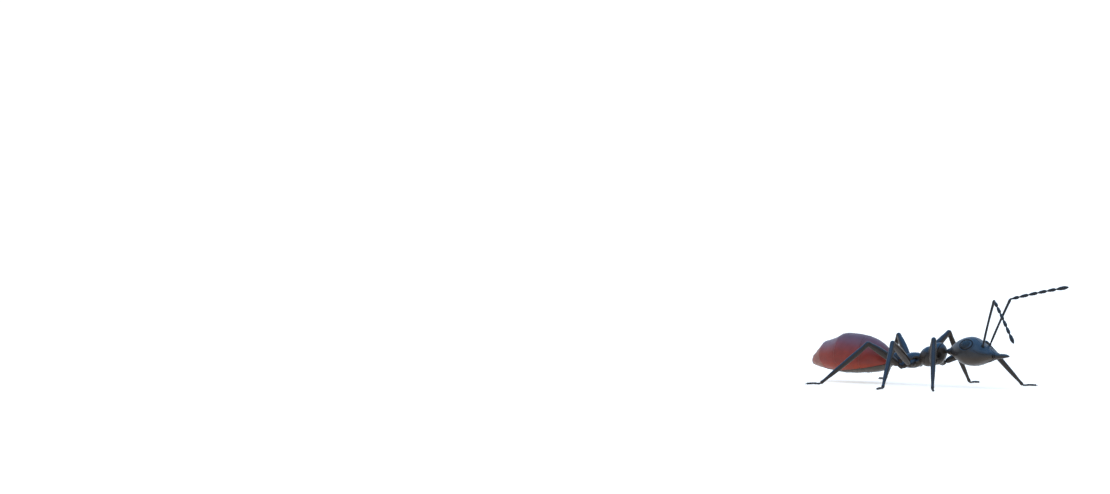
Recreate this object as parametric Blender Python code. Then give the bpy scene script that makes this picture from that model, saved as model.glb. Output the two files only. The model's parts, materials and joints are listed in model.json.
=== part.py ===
"""Giant forest ant worker, standing still on its six legs, at life size.

The ant faces -Y with its left side at +X. It stands on Z = 0, with the origin under the
middle of its box. Each hard segment of the body is one closed solid, and a thin cut parts
it from the next one. Sizes in the tables are millimetres, which MM turns into metres.
"""

import math
from collections import namedtuple

import bmesh
import bpy
from mathutils import Matrix, Vector

MM = 0.001
LEFT = 1
RIGHT = -1
SIDES = {"left": LEFT, "right": RIGHT}
UP = Vector((0.0, 0.0, 1.0))

# Thin cuts between neighbouring solids
CUT = 0.04
MERGE = 0.001 * MM

# A mitred segment is made this many radii too long before its end is cut off
OVERRUN = 1.5

# Edges sharper than this stay sharp under the smooth shading
SHARP = math.radians(50.0)

# Counts of sides and rings in the round lumps
Mesh = namedtuple("Mesh", "sides rings")
LARGE = Mesh(28, 20)
MEDIUM = Mesh(20, 12)
SMALL = Mesh(16, 10)

# Counts of steps in each quarter turn of a rod, as a curve's bevel resolution
THICK_ROD = 3
THIN_ROD = 2

# Round lumps of the body. front and back are the (y, z) of their poles, and a taper of 0.5
# is a round end, while a larger one is more pointed.
Egg = namedtuple("Egg", "front back width top bottom front_taper back_taper")
HEAD = Egg((-11.95, 4.2), (-4.3, 4.51), 4.8, 6.49, 2.91, 0.9, 0.7)
PRONOTUM = Egg((-4.2, 4.36), (-1.0, 3.85), 2.7, 5.56, 2.73, 0.52, 0.6)
MESONOTUM = Egg((-2.9, 3.88), (-0.15, 3.53), 2.5, 5.07, 2.46, 0.5, 0.5)
PROPODEUM = Egg((-0.65, 3.34), (3.3, 2.97), 2.1, 4.19, 2.17, 0.45, 0.75)
PETIOLE = Egg((2.45, 2.99), (4.1, 2.86), 1.25, 4.07, 2.27, 0.5, 0.5)
GASTER = Egg((3.65, 2.81), (15.65, 2.75), 6.1, 6.42, 1.19, 0.56, 0.56)

# How far two lumps depart from a plain egg: y, and the shares kept of the height above the
# middle, of the depth below it, and of the width.
PROFILES = {
    HEAD: (
        (-11.35, 0.33, 0.66, 0.96),
        (-10.6, 0.414, 0.738, 0.946),
        (-10.1, 0.509, 0.815, 0.941),
        (-9.5, 0.627, 0.909, 0.944),
        (-8.8, 0.801, 1.0, 0.963),
        (-8.0, 0.968, 1.03, 0.983),
        (-7.0, 0.992, 1.03, 0.981),
        (-6.0, 0.961, 1.0, 0.942),
        (-5.2, 0.91, 0.836, 0.884),
        (-4.3, 0.856, 0.6, 0.861),
    ),
    GASTER: (
        (10.8, 1.0, 1.0, 1.0),
        (11.6, 0.945, 0.97, 1.0),
        (12.6, 0.91, 0.96, 1.0),
        (13.5, 0.88, 0.96, 0.96),
        (14.2, 0.78, 1.0, 0.92),
        (14.8, 0.68, 1.0, 0.85),
        (15.27, 0.6, 1.0, 0.8),
    ),
}

# Places of the thin cuts along the body
MOUTH_Y = -11.35
PRONOTUM_BACK_Y = -1.85
METANOTAL_Y = -0.35
PROPODEUM_BACK_Y = 2.75
PETIOLE_BACK_Y = 3.8
GASTER_CUTS_Y = (7.2, 10.85, 13.5, 14.7)

# How far each segment of the gaster is tucked in under the one before it
GASTER_TUCKS = (0.0, 0.0, 0.16, 0.3, 0.38)

# Neck between the head and the pronotum
NECK_FRONT = (-5.0, 4.56)
NECK_BACK = (-3.4, 4.44)
NECK_RADIUS = 0.26

# Compound eyes, low domes with half of their depth inside the head
EYE_PLACE = (1.6, -7.4, 5.38)
EYE_RADII = (0.56, 0.84, 0.76)
EYE_TILT = math.radians(38.0)
EYE_TURN = math.radians(6.0)

# Closed mandibles, from the corners of the mouth to their tips: x, y, z and radius
MANDIBLE_PATH = (
    (0.62, -10.6, 4.17, 0.36),
    (0.63, -11.4, 4.24, 0.34),
    (0.5, -12.0, 4.28, 0.28),
    (0.3, -12.45, 4.28, 0.19),
    (0.13, -12.68, 4.28, 0.08),
)

# Antennae: a long scape, an elbow and six spindle-shaped beads
ANTENNA_ROOT = (0.96, -9.34, 5.22)
SCAPE_LENGTH = 6.652
SCAPE_RADII = (0.25, 0.25, 0.25, 0.25, 0.26, 0.27)
FLAGELLUM_LENGTH = 7.52
BEADS = 6
LAST_BEAD = 1.4
BEAD_RADIUS = 0.29
BEAD_NECK_RADIUS = 0.25
BEAD_TIP_RADIUS = 0.15
BEAD_PROFILE = ((0.12, BEAD_NECK_RADIUS), (0.45, BEAD_RADIUS), (0.7, BEAD_RADIUS))
AntennaPose = namedtuple("AntennaPose", "scape_out scape_lift flagellum_out flagellum_lift")
ANTENNA_POSES = {
    "left": AntennaPose(16.46, 67.13, 19.3, 12.9),
    "right": AntennaPose(36.75, 65.06, 37.7, -43.4),
}

# Legs. socket is where a coxa starts inside the trunk, and joint is where it ends.
LegSize = namedtuple("LegSize", "socket joint femur tibia tarsus")
LEG_SIZES = {
    "front": LegSize((0.55, -2.7, 3.48), (1.4, -2.5, 2.82), 6.32, 7.23, 2.15),
    "middle": LegSize((0.5, 0.4, 3.12), (1.35, 0.55, 2.52), 6.45, 7.24, 2.1),
    "hind": LegSize((0.45, 1.5, 3.0), (1.25, 1.75, 2.3), 5.49, 7.98, 2.07),
}
LegPose = namedtuple("LegPose", "femur_forward femur_lift tibia_forward tarsus_forward")
LEG_POSES = {
    "front_left": LegPose(51.3, 25.1, 51.5, 39.2),
    "front_right": LegPose(27.8, 32.1, 25.3, 28.6),
    "middle_left": LegPose(21.0, 39.6, 30.7, 14.3),
    "middle_right": LegPose(2.7, 28.4, 12.7, 5.6),
    "hind_left": LegPose(-50.9, 44.2, -44.3, -52.0),
    "hind_right": LegPose(-43.4, 32.5, -48.4, -46.2),
}
TROCHANTER_LENGTH = 0.55
COXA_RADII = (0.42, 0.43, 0.41, 0.35)
TROCHANTER_RADII = (0.33, 0.31, 0.28)
FEMUR_RADII = (0.29, 0.38, 0.44, 0.45, 0.41, 0.34, 0.29)
TIBIA_RADII = (0.29, 0.33, 0.31, 0.28, 0.25, 0.25)
TARSUS_RADII = (0.25, 0.25, 0.25, 0.25)
TARSUS_HEIGHT = 0.22
TARSUS_ARCH = 0.1

# Colours
BLUE_BLACK = (0.018, 0.022, 0.030)
JET = (0.008, 0.009, 0.012)
EYE_BLUE = (0.012, 0.020, 0.032)
MAROON = (0.22, 0.035, 0.030)

# How matt each material is
CHITIN_ROUGHNESS = 0.32
JAW_ROUGHNESS = 0.28
EYE_ROUGHNESS = 0.15
GASTER_ROUGHNESS = 0.34


def clear_scene():
    for obj in list(bpy.data.objects):
        bpy.data.objects.remove(obj, do_unlink=True)


def make_collection(name):
    collection = bpy.data.collections.new(name)
    bpy.context.scene.collection.children.link(collection)
    return collection


def make_root(name):
    root = bpy.data.objects.new(name, None)
    parts.objects.link(root)
    return root


def make_material(name, colour, roughness):
    material = bpy.data.materials.new(name)
    material.use_nodes = True
    shader = material.node_tree.nodes["Principled BSDF"]
    shader.inputs["Base Color"].default_value = (*colour, 1.0)
    shader.inputs["Roughness"].default_value = roughness
    shader.inputs["Metallic"].default_value = 0.0
    return material


def add_object(name, bm, origin, collection):
    """The shape as an object whose own origin is its joint with the part before it."""
    bmesh.ops.recalc_face_normals(bm, faces=bm.faces)
    bmesh.ops.translate(bm, verts=bm.verts, vec=-origin)
    mesh = bpy.data.meshes.new(name)
    bm.to_mesh(mesh)
    bm.free()
    mesh.shade_smooth()
    mesh.set_sharp_from_angle(angle=SHARP)
    obj = bpy.data.objects.new(name, mesh)
    obj.location = origin
    collection.objects.link(obj)
    return obj


def add_part(name, bm, origin, material):
    obj = add_object(name, bm, origin, parts)
    obj.data.materials.append(material)
    obj.parent = ant
    return obj


def add_cutter(name, bm):
    cutter = add_object(name, bm, Vector(), cutters)
    cutter.hide_render = True
    cutter.display_type = "WIRE"
    cutter.parent = ant
    return cutter


def cut_out(obj, cutter):
    modifier = obj.modifiers.new(f"clear_{cutter.name}", "BOOLEAN")
    modifier.operation = "DIFFERENCE"
    modifier.object = cutter


def cut_away(bm, point, normal):
    """Takes off what lies past the plane, on the side of its normal, and closes the cut."""
    geometry = bm.verts[:] + bm.edges[:] + bm.faces[:]
    cut = bmesh.ops.bisect_plane(
        bm, geom=geometry, dist=MERGE, plane_co=point, plane_no=normal, clear_outer=True
    )
    rim = [item for item in cut["geom_cut"] if isinstance(item, bmesh.types.BMEdge)]
    bmesh.ops.edgeloop_fill(bm, edges=rim)


def kept_shares(shape, y):
    """The shares of height, depth and width that the lump's profile keeps at y."""
    stops = PROFILES.get(shape, ((0.0, 1.0, 1.0, 1.0),))
    if y <= stops[0][0]:
        return stops[0][1:]
    for before, after in zip(stops[:-1], stops[1:]):
        if y <= after[0]:
            share = (y - before[0]) / (after[0] - before[0])
            return [low + (high - low) * share for low, high in zip(before[1:], after[1:])]
    return stops[-1][1:]


def egg(shape, mesh, grow=0.0):
    """A ball along Y whose width, top and bottom swell and taper as the Egg says."""
    front_y = shape.front[0] - grow
    length = shape.back[0] + grow - front_y
    peak = shape.front_taper / (shape.front_taper + shape.back_taper)
    peak_z = shape.front[1] + (shape.back[1] - shape.front[1]) * peak
    half_width = shape.width / 2.0 + grow
    rise = shape.top - peak_z + grow
    fall = peak_z - shape.bottom + grow
    bm = bmesh.new()
    bmesh.ops.create_uvsphere(
        bm,
        u_segments=mesh.sides,
        v_segments=mesh.rings,
        radius=1.0,
        matrix=Matrix.Rotation(math.pi / 2.0, 4, "X"),
    )
    for vert in bm.verts:
        across, along, upright = vert.co
        part_way = min(max((1.0 + along) / 2.0, 0.0), 1.0)
        ring = math.hypot(across, upright)
        swell = (part_way / peak) ** shape.front_taper
        swell *= ((1.0 - part_way) / (1.0 - peak)) ** shape.back_taper
        swell /= max(ring, MERGE)
        axis_z = shape.front[1] + (shape.back[1] - shape.front[1]) * part_way
        y = front_y + length * part_way
        above, below, wide = kept_shares(shape, y)
        height = rise * above if upright > 0.0 else fall * below
        x = half_width * across * swell * wide
        z = axis_z + height * upright * swell
        vert.co = Vector((x, y, z)) * MM
    return bm


def slice_of(shape, mesh, front_y=None, back_y=None, grow=0.0):
    """The stretch of an Egg between two thin cuts across the body."""
    bm = egg(shape, mesh, grow)
    half_cut = Vector((0.0, CUT / 2.0, 0.0)) * MM
    if front_y is not None:
        cut_away(bm, Vector((0.0, front_y, 0.0)) * MM + half_cut, Vector((0.0, -1.0, 0.0)))
    if back_y is not None:
        cut_away(bm, Vector((0.0, back_y, 0.0)) * MM - half_cut, Vector((0.0, 1.0, 0.0)))
    return bm


def tube(points, radii, steps):
    """A round rod through the points, made as a bevelled curve and returned as a mesh."""
    curve = bpy.data.curves.new("rod", "CURVE")
    curve.dimensions = "3D"
    curve.bevel_depth = MM
    curve.bevel_resolution = steps
    curve.use_fill_caps = True
    spline = curve.splines.new("POLY")
    spline.points.add(len(points) - 1)
    for spline_point, point, radius in zip(spline.points, points, radii):
        spline_point.co = (*(point * MM), 1.0)
        spline_point.radius = radius
    rod = bpy.data.objects.new("rod", curve)
    cutters.objects.link(rod)
    graph = bpy.context.evaluated_depsgraph_get()
    mesh = bpy.data.meshes.new_from_object(rod.evaluated_get(graph), depsgraph=graph)
    bm = bmesh.new()
    bm.from_mesh(mesh)
    bmesh.ops.remove_doubles(bm, verts=bm.verts, dist=MERGE)
    bpy.data.objects.remove(rod)
    bpy.data.curves.remove(curve)
    bpy.data.meshes.remove(mesh)
    return bm


def limb(start, end, radii, steps, before=None, after=None):
    """A straight tapering segment, mitred where it meets the segments before and after it."""
    along = (end - start).normalized()
    points = [start.lerp(end, stop / (len(radii) - 1)) for stop in range(len(radii))]
    radii = list(radii)
    if before is not None:
        points.insert(0, start - along * radii[0] * OVERRUN)
        radii.insert(0, radii[0])
    if after is not None:
        points.append(end + along * radii[-1] * OVERRUN)
        radii.append(radii[-1])
    bm = tube(points, radii, steps)
    if before is not None:
        mitre = (along + before).normalized()
        cut_away(bm, (start + mitre * CUT / 2.0) * MM, -mitre)
    if after is not None:
        mitre = (along + after).normalized()
        cut_away(bm, (end - mitre * CUT / 2.0) * MM, mitre)
    return bm


def stand_on_floor(bm):
    cut_away(bm, Vector(), -UP)


def direction(side, forward, lift):
    """Unit vector that points out to a side, turned forward and lifted by degrees."""
    forward = math.radians(forward)
    lift = math.radians(lift)
    level = math.cos(lift)
    return Vector((side * math.cos(forward) * level, -math.sin(forward) * level, math.sin(lift)))


def mirrored(place, side):
    return Vector((side * place[0], place[1], place[2]))


def make_head():
    bm = slice_of(HEAD, LARGE, front_y=MOUTH_Y)
    head = add_part("head", bm, Vector((0.0, *HEAD.back)) * MM, chitin)
    for side_name, side in SIDES.items():
        make_eye(head, side_name, side)


def make_eye(head, side_name, side):
    place = mirrored(EYE_PLACE, side) * MM
    turn = Matrix.Rotation(-side * EYE_TILT, 4, "Y") @ Matrix.Rotation(-side * EYE_TURN, 4, "Z")
    eye = add_part(f"eye_{side_name}", eye_ball(0.0), Vector(), eye_lens)
    socket = add_cutter(f"eye_socket_{side_name}", eye_ball(CUT))
    for obj in (eye, socket):
        obj.location = place
        obj.rotation_euler = turn.to_euler()
    cut_out(head, socket)


def eye_ball(grow):
    bm = bmesh.new()
    stretch = Matrix.Diagonal([(radius + grow) * MM for radius in EYE_RADII] + [1.0])
    turn = Matrix.Rotation(math.pi / 2.0, 4, "Y")
    bmesh.ops.create_uvsphere(
        bm,
        u_segments=SMALL.sides,
        v_segments=SMALL.rings,
        radius=1.0,
        matrix=stretch @ turn,
    )
    return bm


def make_mandibles(head_room):
    for side_name, side in SIDES.items():
        points = [mirrored(stop[:3], side) for stop in MANDIBLE_PATH]
        radii = [stop[3] for stop in MANDIBLE_PATH]
        bm = tube(points, radii, THICK_ROD)
        mandible = add_part(f"mandible_{side_name}", bm, points[0] * MM, jaw)
        cut_out(mandible, head_room)


def make_antennae(head_room):
    for side_name, side in SIDES.items():
        pose = ANTENNA_POSES[side_name]
        root = mirrored(ANTENNA_ROOT, side)
        scape_way = direction(side, 90.0 - pose.scape_out, pose.scape_lift)
        flagellum_way = direction(side, 90.0 - pose.flagellum_out, pose.flagellum_lift)
        elbow = root + scape_way * SCAPE_LENGTH
        bm = limb(root, elbow, SCAPE_RADII, THIN_ROD, after=flagellum_way)
        scape = add_part(f"scape_{side_name}", bm, root * MM, chitin)
        cut_out(scape, head_room)
        bm = beaded_rod(elbow, scape_way, flagellum_way)
        add_part(f"flagellum_{side_name}", bm, elbow * MM, chitin)


def beaded_rod(start, before, along):
    """Six spindle beads in a row, the last one longest, with a mitred first end."""
    lengths = [1.0] * (BEADS - 1) + [LAST_BEAD]
    unit = FLAGELLUM_LENGTH / sum(lengths)
    points = [start - along * BEAD_NECK_RADIUS]
    radii = [BEAD_NECK_RADIUS]
    reached = 0.0
    for length in lengths:
        bead = length * unit
        for part_way, radius in BEAD_PROFILE:
            points.append(start + along * (reached + bead * part_way))
            radii.append(radius)
        reached += bead
    points.append(start + along * reached)
    radii.append(BEAD_TIP_RADIUS)
    bm = tube(points, radii, THIN_ROD)
    mitre = (along + before).normalized()
    cut_away(bm, (start + mitre * CUT / 2.0) * MM, -mitre)
    return bm


def make_trunk():
    """The neck, the three lumps of the trunk and the petiole, parted by thin cuts."""
    pieces = {
        "pronotum": (PRONOTUM, None, PRONOTUM_BACK_Y),
        "mesonotum": (MESONOTUM, PRONOTUM_BACK_Y, METANOTAL_Y),
        "propodeum": (PROPODEUM, METANOTAL_Y, PROPODEUM_BACK_Y),
        "petiole": (PETIOLE, PROPODEUM_BACK_Y, PETIOLE_BACK_Y),
    }
    for name, (shape, front_y, back_y) in pieces.items():
        bm = slice_of(shape, MEDIUM, front_y=front_y, back_y=back_y)
        origin = Vector((0.0, *shape.front)) * MM
        add_part(name, bm, origin, chitin)


def make_neck(head_room, pronotum_room):
    points = [Vector((0.0, *NECK_FRONT)), Vector((0.0, *NECK_BACK))]
    bm = tube(points, [NECK_RADIUS] * len(points), THICK_ROD)
    neck = add_part("neck", bm, points[-1] * MM, chitin)
    cut_out(neck, head_room)
    cut_out(neck, pronotum_room)


def make_gaster():
    """The red abdomen behind the waist, in five segments, each parted by a thin cut."""
    edges = (PETIOLE_BACK_Y, *GASTER_CUTS_Y, None)
    for number, tuck in enumerate(GASTER_TUCKS, start=1):
        front_y, back_y = edges[number - 1 : number + 1]
        bm = slice_of(GASTER, LARGE, front_y=front_y, back_y=back_y, grow=-tuck)
        origin = Vector((0.0, front_y, GASTER.front[1])) * MM
        add_part(f"gaster_{number}", bm, origin, gaster_shell)


def make_leg(pair, side_name, trunk_room):
    side = SIDES[side_name]
    name = f"{pair}_{side_name}"
    size = LEG_SIZES[pair]
    pose = LEG_POSES[name]

    socket = mirrored(size.socket, side)
    joint = mirrored(size.joint, side)
    coxa_way = (joint - socket).normalized()
    femur_way = direction(side, pose.femur_forward, pose.femur_lift)
    knee = joint + femur_way * size.femur
    tibia_drop = math.degrees(math.asin((knee.z - TARSUS_HEIGHT) / size.tibia))
    tibia_way = direction(side, pose.tibia_forward, -tibia_drop)
    ankle = knee + tibia_way * size.tibia
    tarsus_way = direction(side, pose.tarsus_forward, 0.0)
    femur_start = joint + femur_way * TROCHANTER_LENGTH

    bm = limb(socket, joint, COXA_RADII, THICK_ROD, after=femur_way)
    coxa = add_part(f"coxa_{name}", bm, joint * MM, chitin)
    for room in trunk_room:
        cut_out(coxa, room)
    bm = limb(joint, femur_start, TROCHANTER_RADII, THICK_ROD, coxa_way, femur_way)
    add_part(f"trochanter_{name}", bm, joint * MM, chitin)
    bm = limb(femur_start, knee, FEMUR_RADII, THICK_ROD, femur_way, tibia_way)
    add_part(f"femur_{name}", bm, femur_start * MM, chitin)
    bm = limb(knee, ankle, TIBIA_RADII, THICK_ROD, femur_way, tarsus_way)
    stand_on_floor(bm)
    add_part(f"tibia_{name}", bm, knee * MM, chitin)
    bm = tarsus(ankle, tibia_way, tarsus_way, size.tarsus)
    add_part(f"tarsus_{name}", bm, ankle * MM, chitin)


def tarsus(ankle, before, along, length):
    """The foot: a low arch on the floor, with small flats under its heel and its toe."""
    points = [ankle - along * TARSUS_RADII[0]]
    radii = [TARSUS_RADII[0]]
    for stop, radius in enumerate(TARSUS_RADII):
        part_way = stop / (len(TARSUS_RADII) - 1)
        rise = UP * TARSUS_ARCH * math.sin(math.pi * part_way)
        points.append(ankle + along * length * part_way + rise)
        radii.append(radius)
    bm = tube(points, radii, THIN_ROD)
    mitre = (along + before).normalized()
    cut_away(bm, (ankle + mitre * CUT / 2.0) * MM, -mitre)
    stand_on_floor(bm)
    return bm


def centre_on_origin():
    """Moves the whole ant so that the origin lies under the middle of its box."""
    bpy.context.view_layer.update()
    graph = bpy.context.evaluated_depsgraph_get()
    corners = []
    for obj in parts.objects:
        if obj.type == "MESH":
            shape = obj.evaluated_get(graph)
            corners += [shape.matrix_world @ vert.co for vert in shape.data.vertices]
    for axis in (0, 1):
        values = [corner[axis] for corner in corners]
        ant.location[axis] = -(min(values) + max(values)) / 2.0


clear_scene()
parts = make_collection("giant_forest_ant")
cutters = make_collection("cutters")
cutters.hide_render = True
ant = make_root("ant")

chitin = make_material("blue_black_chitin", BLUE_BLACK, CHITIN_ROUGHNESS)
jaw = make_material("jaw_chitin", JET, JAW_ROUGHNESS)
eye_lens = make_material("eye_lens", EYE_BLUE, EYE_ROUGHNESS)
gaster_shell = make_material("maroon_chitin", MAROON, GASTER_ROUGHNESS)

make_head()
head_room = add_cutter("head_room", egg(HEAD, LARGE, CUT))
pronotum_room = add_cutter("pronotum_room", egg(PRONOTUM, MEDIUM, CUT))
mesonotum_room = add_cutter("mesonotum_room", egg(MESONOTUM, MEDIUM, CUT))
propodeum_room = add_cutter("propodeum_room", egg(PROPODEUM, MEDIUM, CUT))
make_mandibles(head_room)
make_antennae(head_room)
make_trunk()
make_neck(head_room, pronotum_room)
make_gaster()
TRUNK_ROOMS = {
    "front": (pronotum_room, mesonotum_room),
    "middle": (propodeum_room, mesonotum_room),
    "hind": (propodeum_room,),
}
for pair_name, rooms in TRUNK_ROOMS.items():
    for leg_side in SIDES:
        make_leg(pair_name, leg_side, rooms)
centre_on_origin()
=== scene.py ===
import json
import math

import bmesh
import bpy
import numpy as np
from mathutils import Matrix, Quaternion, Vector

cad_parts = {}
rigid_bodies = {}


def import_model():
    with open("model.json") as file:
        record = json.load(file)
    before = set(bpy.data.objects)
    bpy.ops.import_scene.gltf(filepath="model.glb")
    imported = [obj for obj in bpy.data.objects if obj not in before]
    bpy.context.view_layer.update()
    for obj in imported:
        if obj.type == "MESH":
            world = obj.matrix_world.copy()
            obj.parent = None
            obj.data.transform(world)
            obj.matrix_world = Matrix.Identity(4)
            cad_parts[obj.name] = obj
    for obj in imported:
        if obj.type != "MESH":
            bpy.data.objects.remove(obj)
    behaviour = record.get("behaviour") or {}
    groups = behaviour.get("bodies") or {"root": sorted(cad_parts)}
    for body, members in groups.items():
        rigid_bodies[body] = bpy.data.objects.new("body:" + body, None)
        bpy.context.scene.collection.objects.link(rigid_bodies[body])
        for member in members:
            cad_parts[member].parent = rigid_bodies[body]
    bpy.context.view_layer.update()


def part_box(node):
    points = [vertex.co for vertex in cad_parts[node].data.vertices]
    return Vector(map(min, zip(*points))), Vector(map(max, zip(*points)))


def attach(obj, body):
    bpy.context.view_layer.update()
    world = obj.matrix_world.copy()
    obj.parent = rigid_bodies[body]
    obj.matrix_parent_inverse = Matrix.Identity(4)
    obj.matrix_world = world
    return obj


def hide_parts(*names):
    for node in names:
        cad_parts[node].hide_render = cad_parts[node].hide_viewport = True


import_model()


# Head capsule
# The hard case of the head: one piece of thick black chitin, painted blue on top as a sky reflection,
# widest behind the eyes and drawn out to the mouth. Rims stand round the eyes and the antenna sockets,
# and fine sutures part its plates.

MM = 0.001
PETIOLE_FACE_Y = 2.77
head_low, head_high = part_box("head")
petiole_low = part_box("petiole")[0]
ANT_ORIGIN = Vector(((head_low.x + head_high.x) / 2, petiole_low.y - PETIOLE_FACE_Y * MM, 0))
LEFT_AND_RIGHT = {"left": 1, "right": -1}

# An egg has its two ends as (y, z), and a profile of how far it departs from a plain egg: y, and the
# shares kept of its height above the middle, of its depth below it, and of its width.
HEAD = {"front": (-11.95, 4.2), "back": (-4.3, 4.51), "width": 4.8, "top": 6.49, "bottom": 2.91,
        "tapers": (0.9, 0.7), "profile": (
            (-11.1, 0.35, 0.675, 0.958), (-10.6, 0.414, 0.738, 0.946), (-10.1, 0.509, 0.815, 0.941),
            (-9.5, 0.627, 0.909, 0.944), (-8.8, 0.801, 1.017, 0.963), (-8, 0.968, 1.081, 0.983),
            (-7, 0.992, 1.107, 0.981), (-6, 0.961, 1.025, 0.942), (-5.2, 0.91, 0.836, 0.884),
            (-4.7, 0.878, 0.666, 0.861), (-4.3, 0.856, 0.525, 0.861))}
PLAIN_EGG = ((0, 1, 1, 1), (1, 1, 1, 1))
HEAD_BACK_Y, MOUTH_Y = -4.304, -11.1
HEAD_RINGS, HEAD_SIDES, RINGS_TO_MOUTH = 190, 256, 1.7
# The mouth's turned-in rim is darkened by painted shade.
MOUTH_LIP, MOUTH_PAINTED_SHADE = ((0.98, -0.02), (0.9, -0.05), (0.7, -0.07), (0.4, -0.08)), 0.7
JAW_NOTCH_FROM, JAW_NOTCH_TO, JAW_NOTCH = -10.3, -11.1, 0.36

EYE_PLACE = (1.6, -7.4, 5.38)
EYE_RADII = (0.55, 0.82, 0.74)
EYE_TILT, EYE_TURN = math.radians(38), math.radians(6)
EYE_RIM_AT, EYE_RIM_WIDTH, EYE_RIM_HEIGHT = 1.2, 0.075, 0.045
EYE_GROOVE_AT, EYE_GROOVE_WIDTH, EYE_GROOVE_DEPTH = 1.03, 0.085, 0.08
SOCKET_PLACE = (0.98, -9.33, 5.24)
SOCKET_RING, SOCKET_RING_WIDTH, SOCKET_RING_HEIGHT = 0.27, 0.075, 0.06
SOCKET_PIT, SOCKET_PIT_DEPTH = 0.17, 0.16

# Lines on the head, alike on both sides: points as (x, y), width, height or depth, how much painted
# shade darkens them, and 1 on the face or -1 under the chin. They are the keels beside the sockets, the
# keel and the edge of the face shield, the furrow of the brow, the throat seam and the mouth floor.
HEAD_LINES = (
    (((0.3, -10.1), (0.4, -9.75), (0.58, -9.4), (0.66, -9), (0.62, -8.55), (0.5, -8.2)),
     0.07, 0.04, 0, 1),
    (((0, -11.4), (0, -10.1)), 0.06, 0.03, 0, 1),
    (((0.66, -11.4), (0.6, -10.75), (0.46, -10.3), (0.2, -10.02), (0, -9.98)), 0.05, -0.045, 0.8, 1),
    (((0, -9.9), (0, -7.9)), 0.035, -0.02, 0.5, 1),
    (((0, -10), (0, -5.2)), 0.045, -0.035, 0.7, -1),
    (((0.62, -11.35), (0.66, -10.8), (0.45, -10.3), (0.15, -10.05), (0, -10)), 0.05, -0.05, 1, -1),
)
# The cheek seam and the nape groove are darkened by painted shade.
CHEEK_SEAM = ((-10.6, 4.47), (-9.9, 4.31), (-9.2, 4.45), (-8.6, 4.83))
CHEEK_SEAM_WIDTH, CHEEK_SEAM_DEPTH, CHEEK_PAINTED_SHADE = 0.05, 0.02, 0.35
NAPE_RIM_Y, NAPE_RIM_WIDTH, NAPE_RIM_HEIGHT = -4.72, 0.07, 0.045
NAPE_GROOVE_Y, NAPE_GROOVE_WIDTH, NAPE_GROOVE_DEPTH, NAPE_PAINTED_SHADE = -4.92, 0.05, 0.03, 0.7
HEAD_WAVE_HEIGHT, HEAD_WAVE_LENGTH, HEAD_SEED = 0.012, 1.6, 11
NECK_COLLAR = ((-4.8, 0.5), (-4.6, 0.5), (-4.4, 0.45), (-4.2, 0.37), (-4.05, 0.3), (-3.97, 0.25))
NECK_COLLAR_Z, COLLAR_RINGS, COLLAR_SIDES = 4.5, 30, 64

# A shell's tints are those of its back, its side and its belly. The blue of the back is a painted sky
# reflection, and the warm brown of the belly a painted floor bounce.
HEAD_PAINTED_LIGHT_TINTS = ((0.014, 0.040, 0.078), (0.018, 0.017, 0.018), (0.036, 0.022, 0.012))
# Painted shade: the dark colour and low sheen given to creases, pits and hidden parts.
PAINTED_SHADE_TINT = (0.006, 0.004, 0.003)
SHELL_SHEEN, PAINTED_SHADE_SHEEN, SHELL_IOR = 0.42, 0.06, 1.42
SHELL_COAT, SHELL_COAT_ROUGHNESS = 0.04, 0.2
BELLY_STOP, BACK_STOP = 0.12, 0.95
SHELL_CLOUDS = (0.8, 4, 0.84, 1.16)
NOISE_LOW, NOISE_HIGH = 0.3, 0.7


def full_turn(sides):
    return np.linspace(0, 2 * math.pi, sides, endpoint=False)


def evenly(count):
    return np.linspace(0, 1, count)


def mirrored(place, side):
    return np.array(place) * (side, 1, 1)


def to_unit(ways):
    return ways / (np.linalg.norm(ways, axis=-1, keepdims=True) + 1e-12)


def through(stops, at, column=1):
    """A smooth curve through stops, read at given places. A stop is its place and then its values."""
    places = np.array([stop[0] for stop in stops], float)
    values = np.array([stop[column] for stop in stops], float)
    slopes = np.gradient(values, places)
    at = np.clip(np.asarray(at, float), places[0], places[-1])
    left = np.clip(np.searchsorted(places, at, side="right") - 1, 0, len(places) - 2)
    gap = places[left + 1] - places[left]
    share = (at - places[left]) / gap
    square, cube = share**2, share**3
    value = (2 * cube - 3 * square + 1) * values[left] + (3 * square - 2 * cube) * values[left + 1]
    bend = (cube - 2 * square + share) * slopes[left] + (cube - square) * slopes[left + 1]
    return value + bend * gap


def egg_rings(egg, ys, turn):
    """Points on an egg-shaped part, in millimetres, for each y and each turn round it."""
    ys = ys[:, None] if ys.ndim == 1 else ys
    (front_y, front_z), (back_y, back_z) = egg["front"], egg["back"]
    part_way = np.clip((ys - front_y) / (back_y - front_y), 0, 1)
    front_taper, back_taper = egg["tapers"]
    peak = front_taper / (front_taper + back_taper)
    swell = (part_way / peak) ** front_taper * ((1 - part_way) / (1 - peak)) ** back_taper
    peak_z = front_z + (back_z - front_z) * peak
    height = np.where(np.sin(turn) > 0, egg["top"] - peak_z, peak_z - egg["bottom"])
    rise = height * np.sin(turn) * swell
    above, below, wide = (through(egg.get("profile", PLAIN_EGG), ys, column) for column in (1, 2, 3))
    x = egg["width"] / 2 * np.cos(turn) * swell * wide
    z = front_z + (back_z - front_z) * part_way + rise * np.where(rise > 0, above, below)
    return np.stack([x, ys + 0 * turn, z], axis=-1)


def rings_out(rings):
    """The outward direction at each point of closed rings that run from front to back."""
    around = np.roll(rings, -1, axis=1) - np.roll(rings, 1, axis=1)
    return to_unit(np.cross(np.gradient(rings, axis=0), around))


def away_from(points, line):
    """How far each point is from a bent line, in as many dimensions as the line has."""
    line = np.asarray(line, float)
    nearest = np.full(points.shape[:-1], np.inf)
    for start, run in zip(line[:-1], np.diff(line, axis=0)):
        share = np.clip((points - start) @ run / (run @ run), 0, 1)
        nearest = np.minimum(nearest, np.linalg.norm(points - start - share[..., None] * run, axis=-1))
    return nearest


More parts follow.
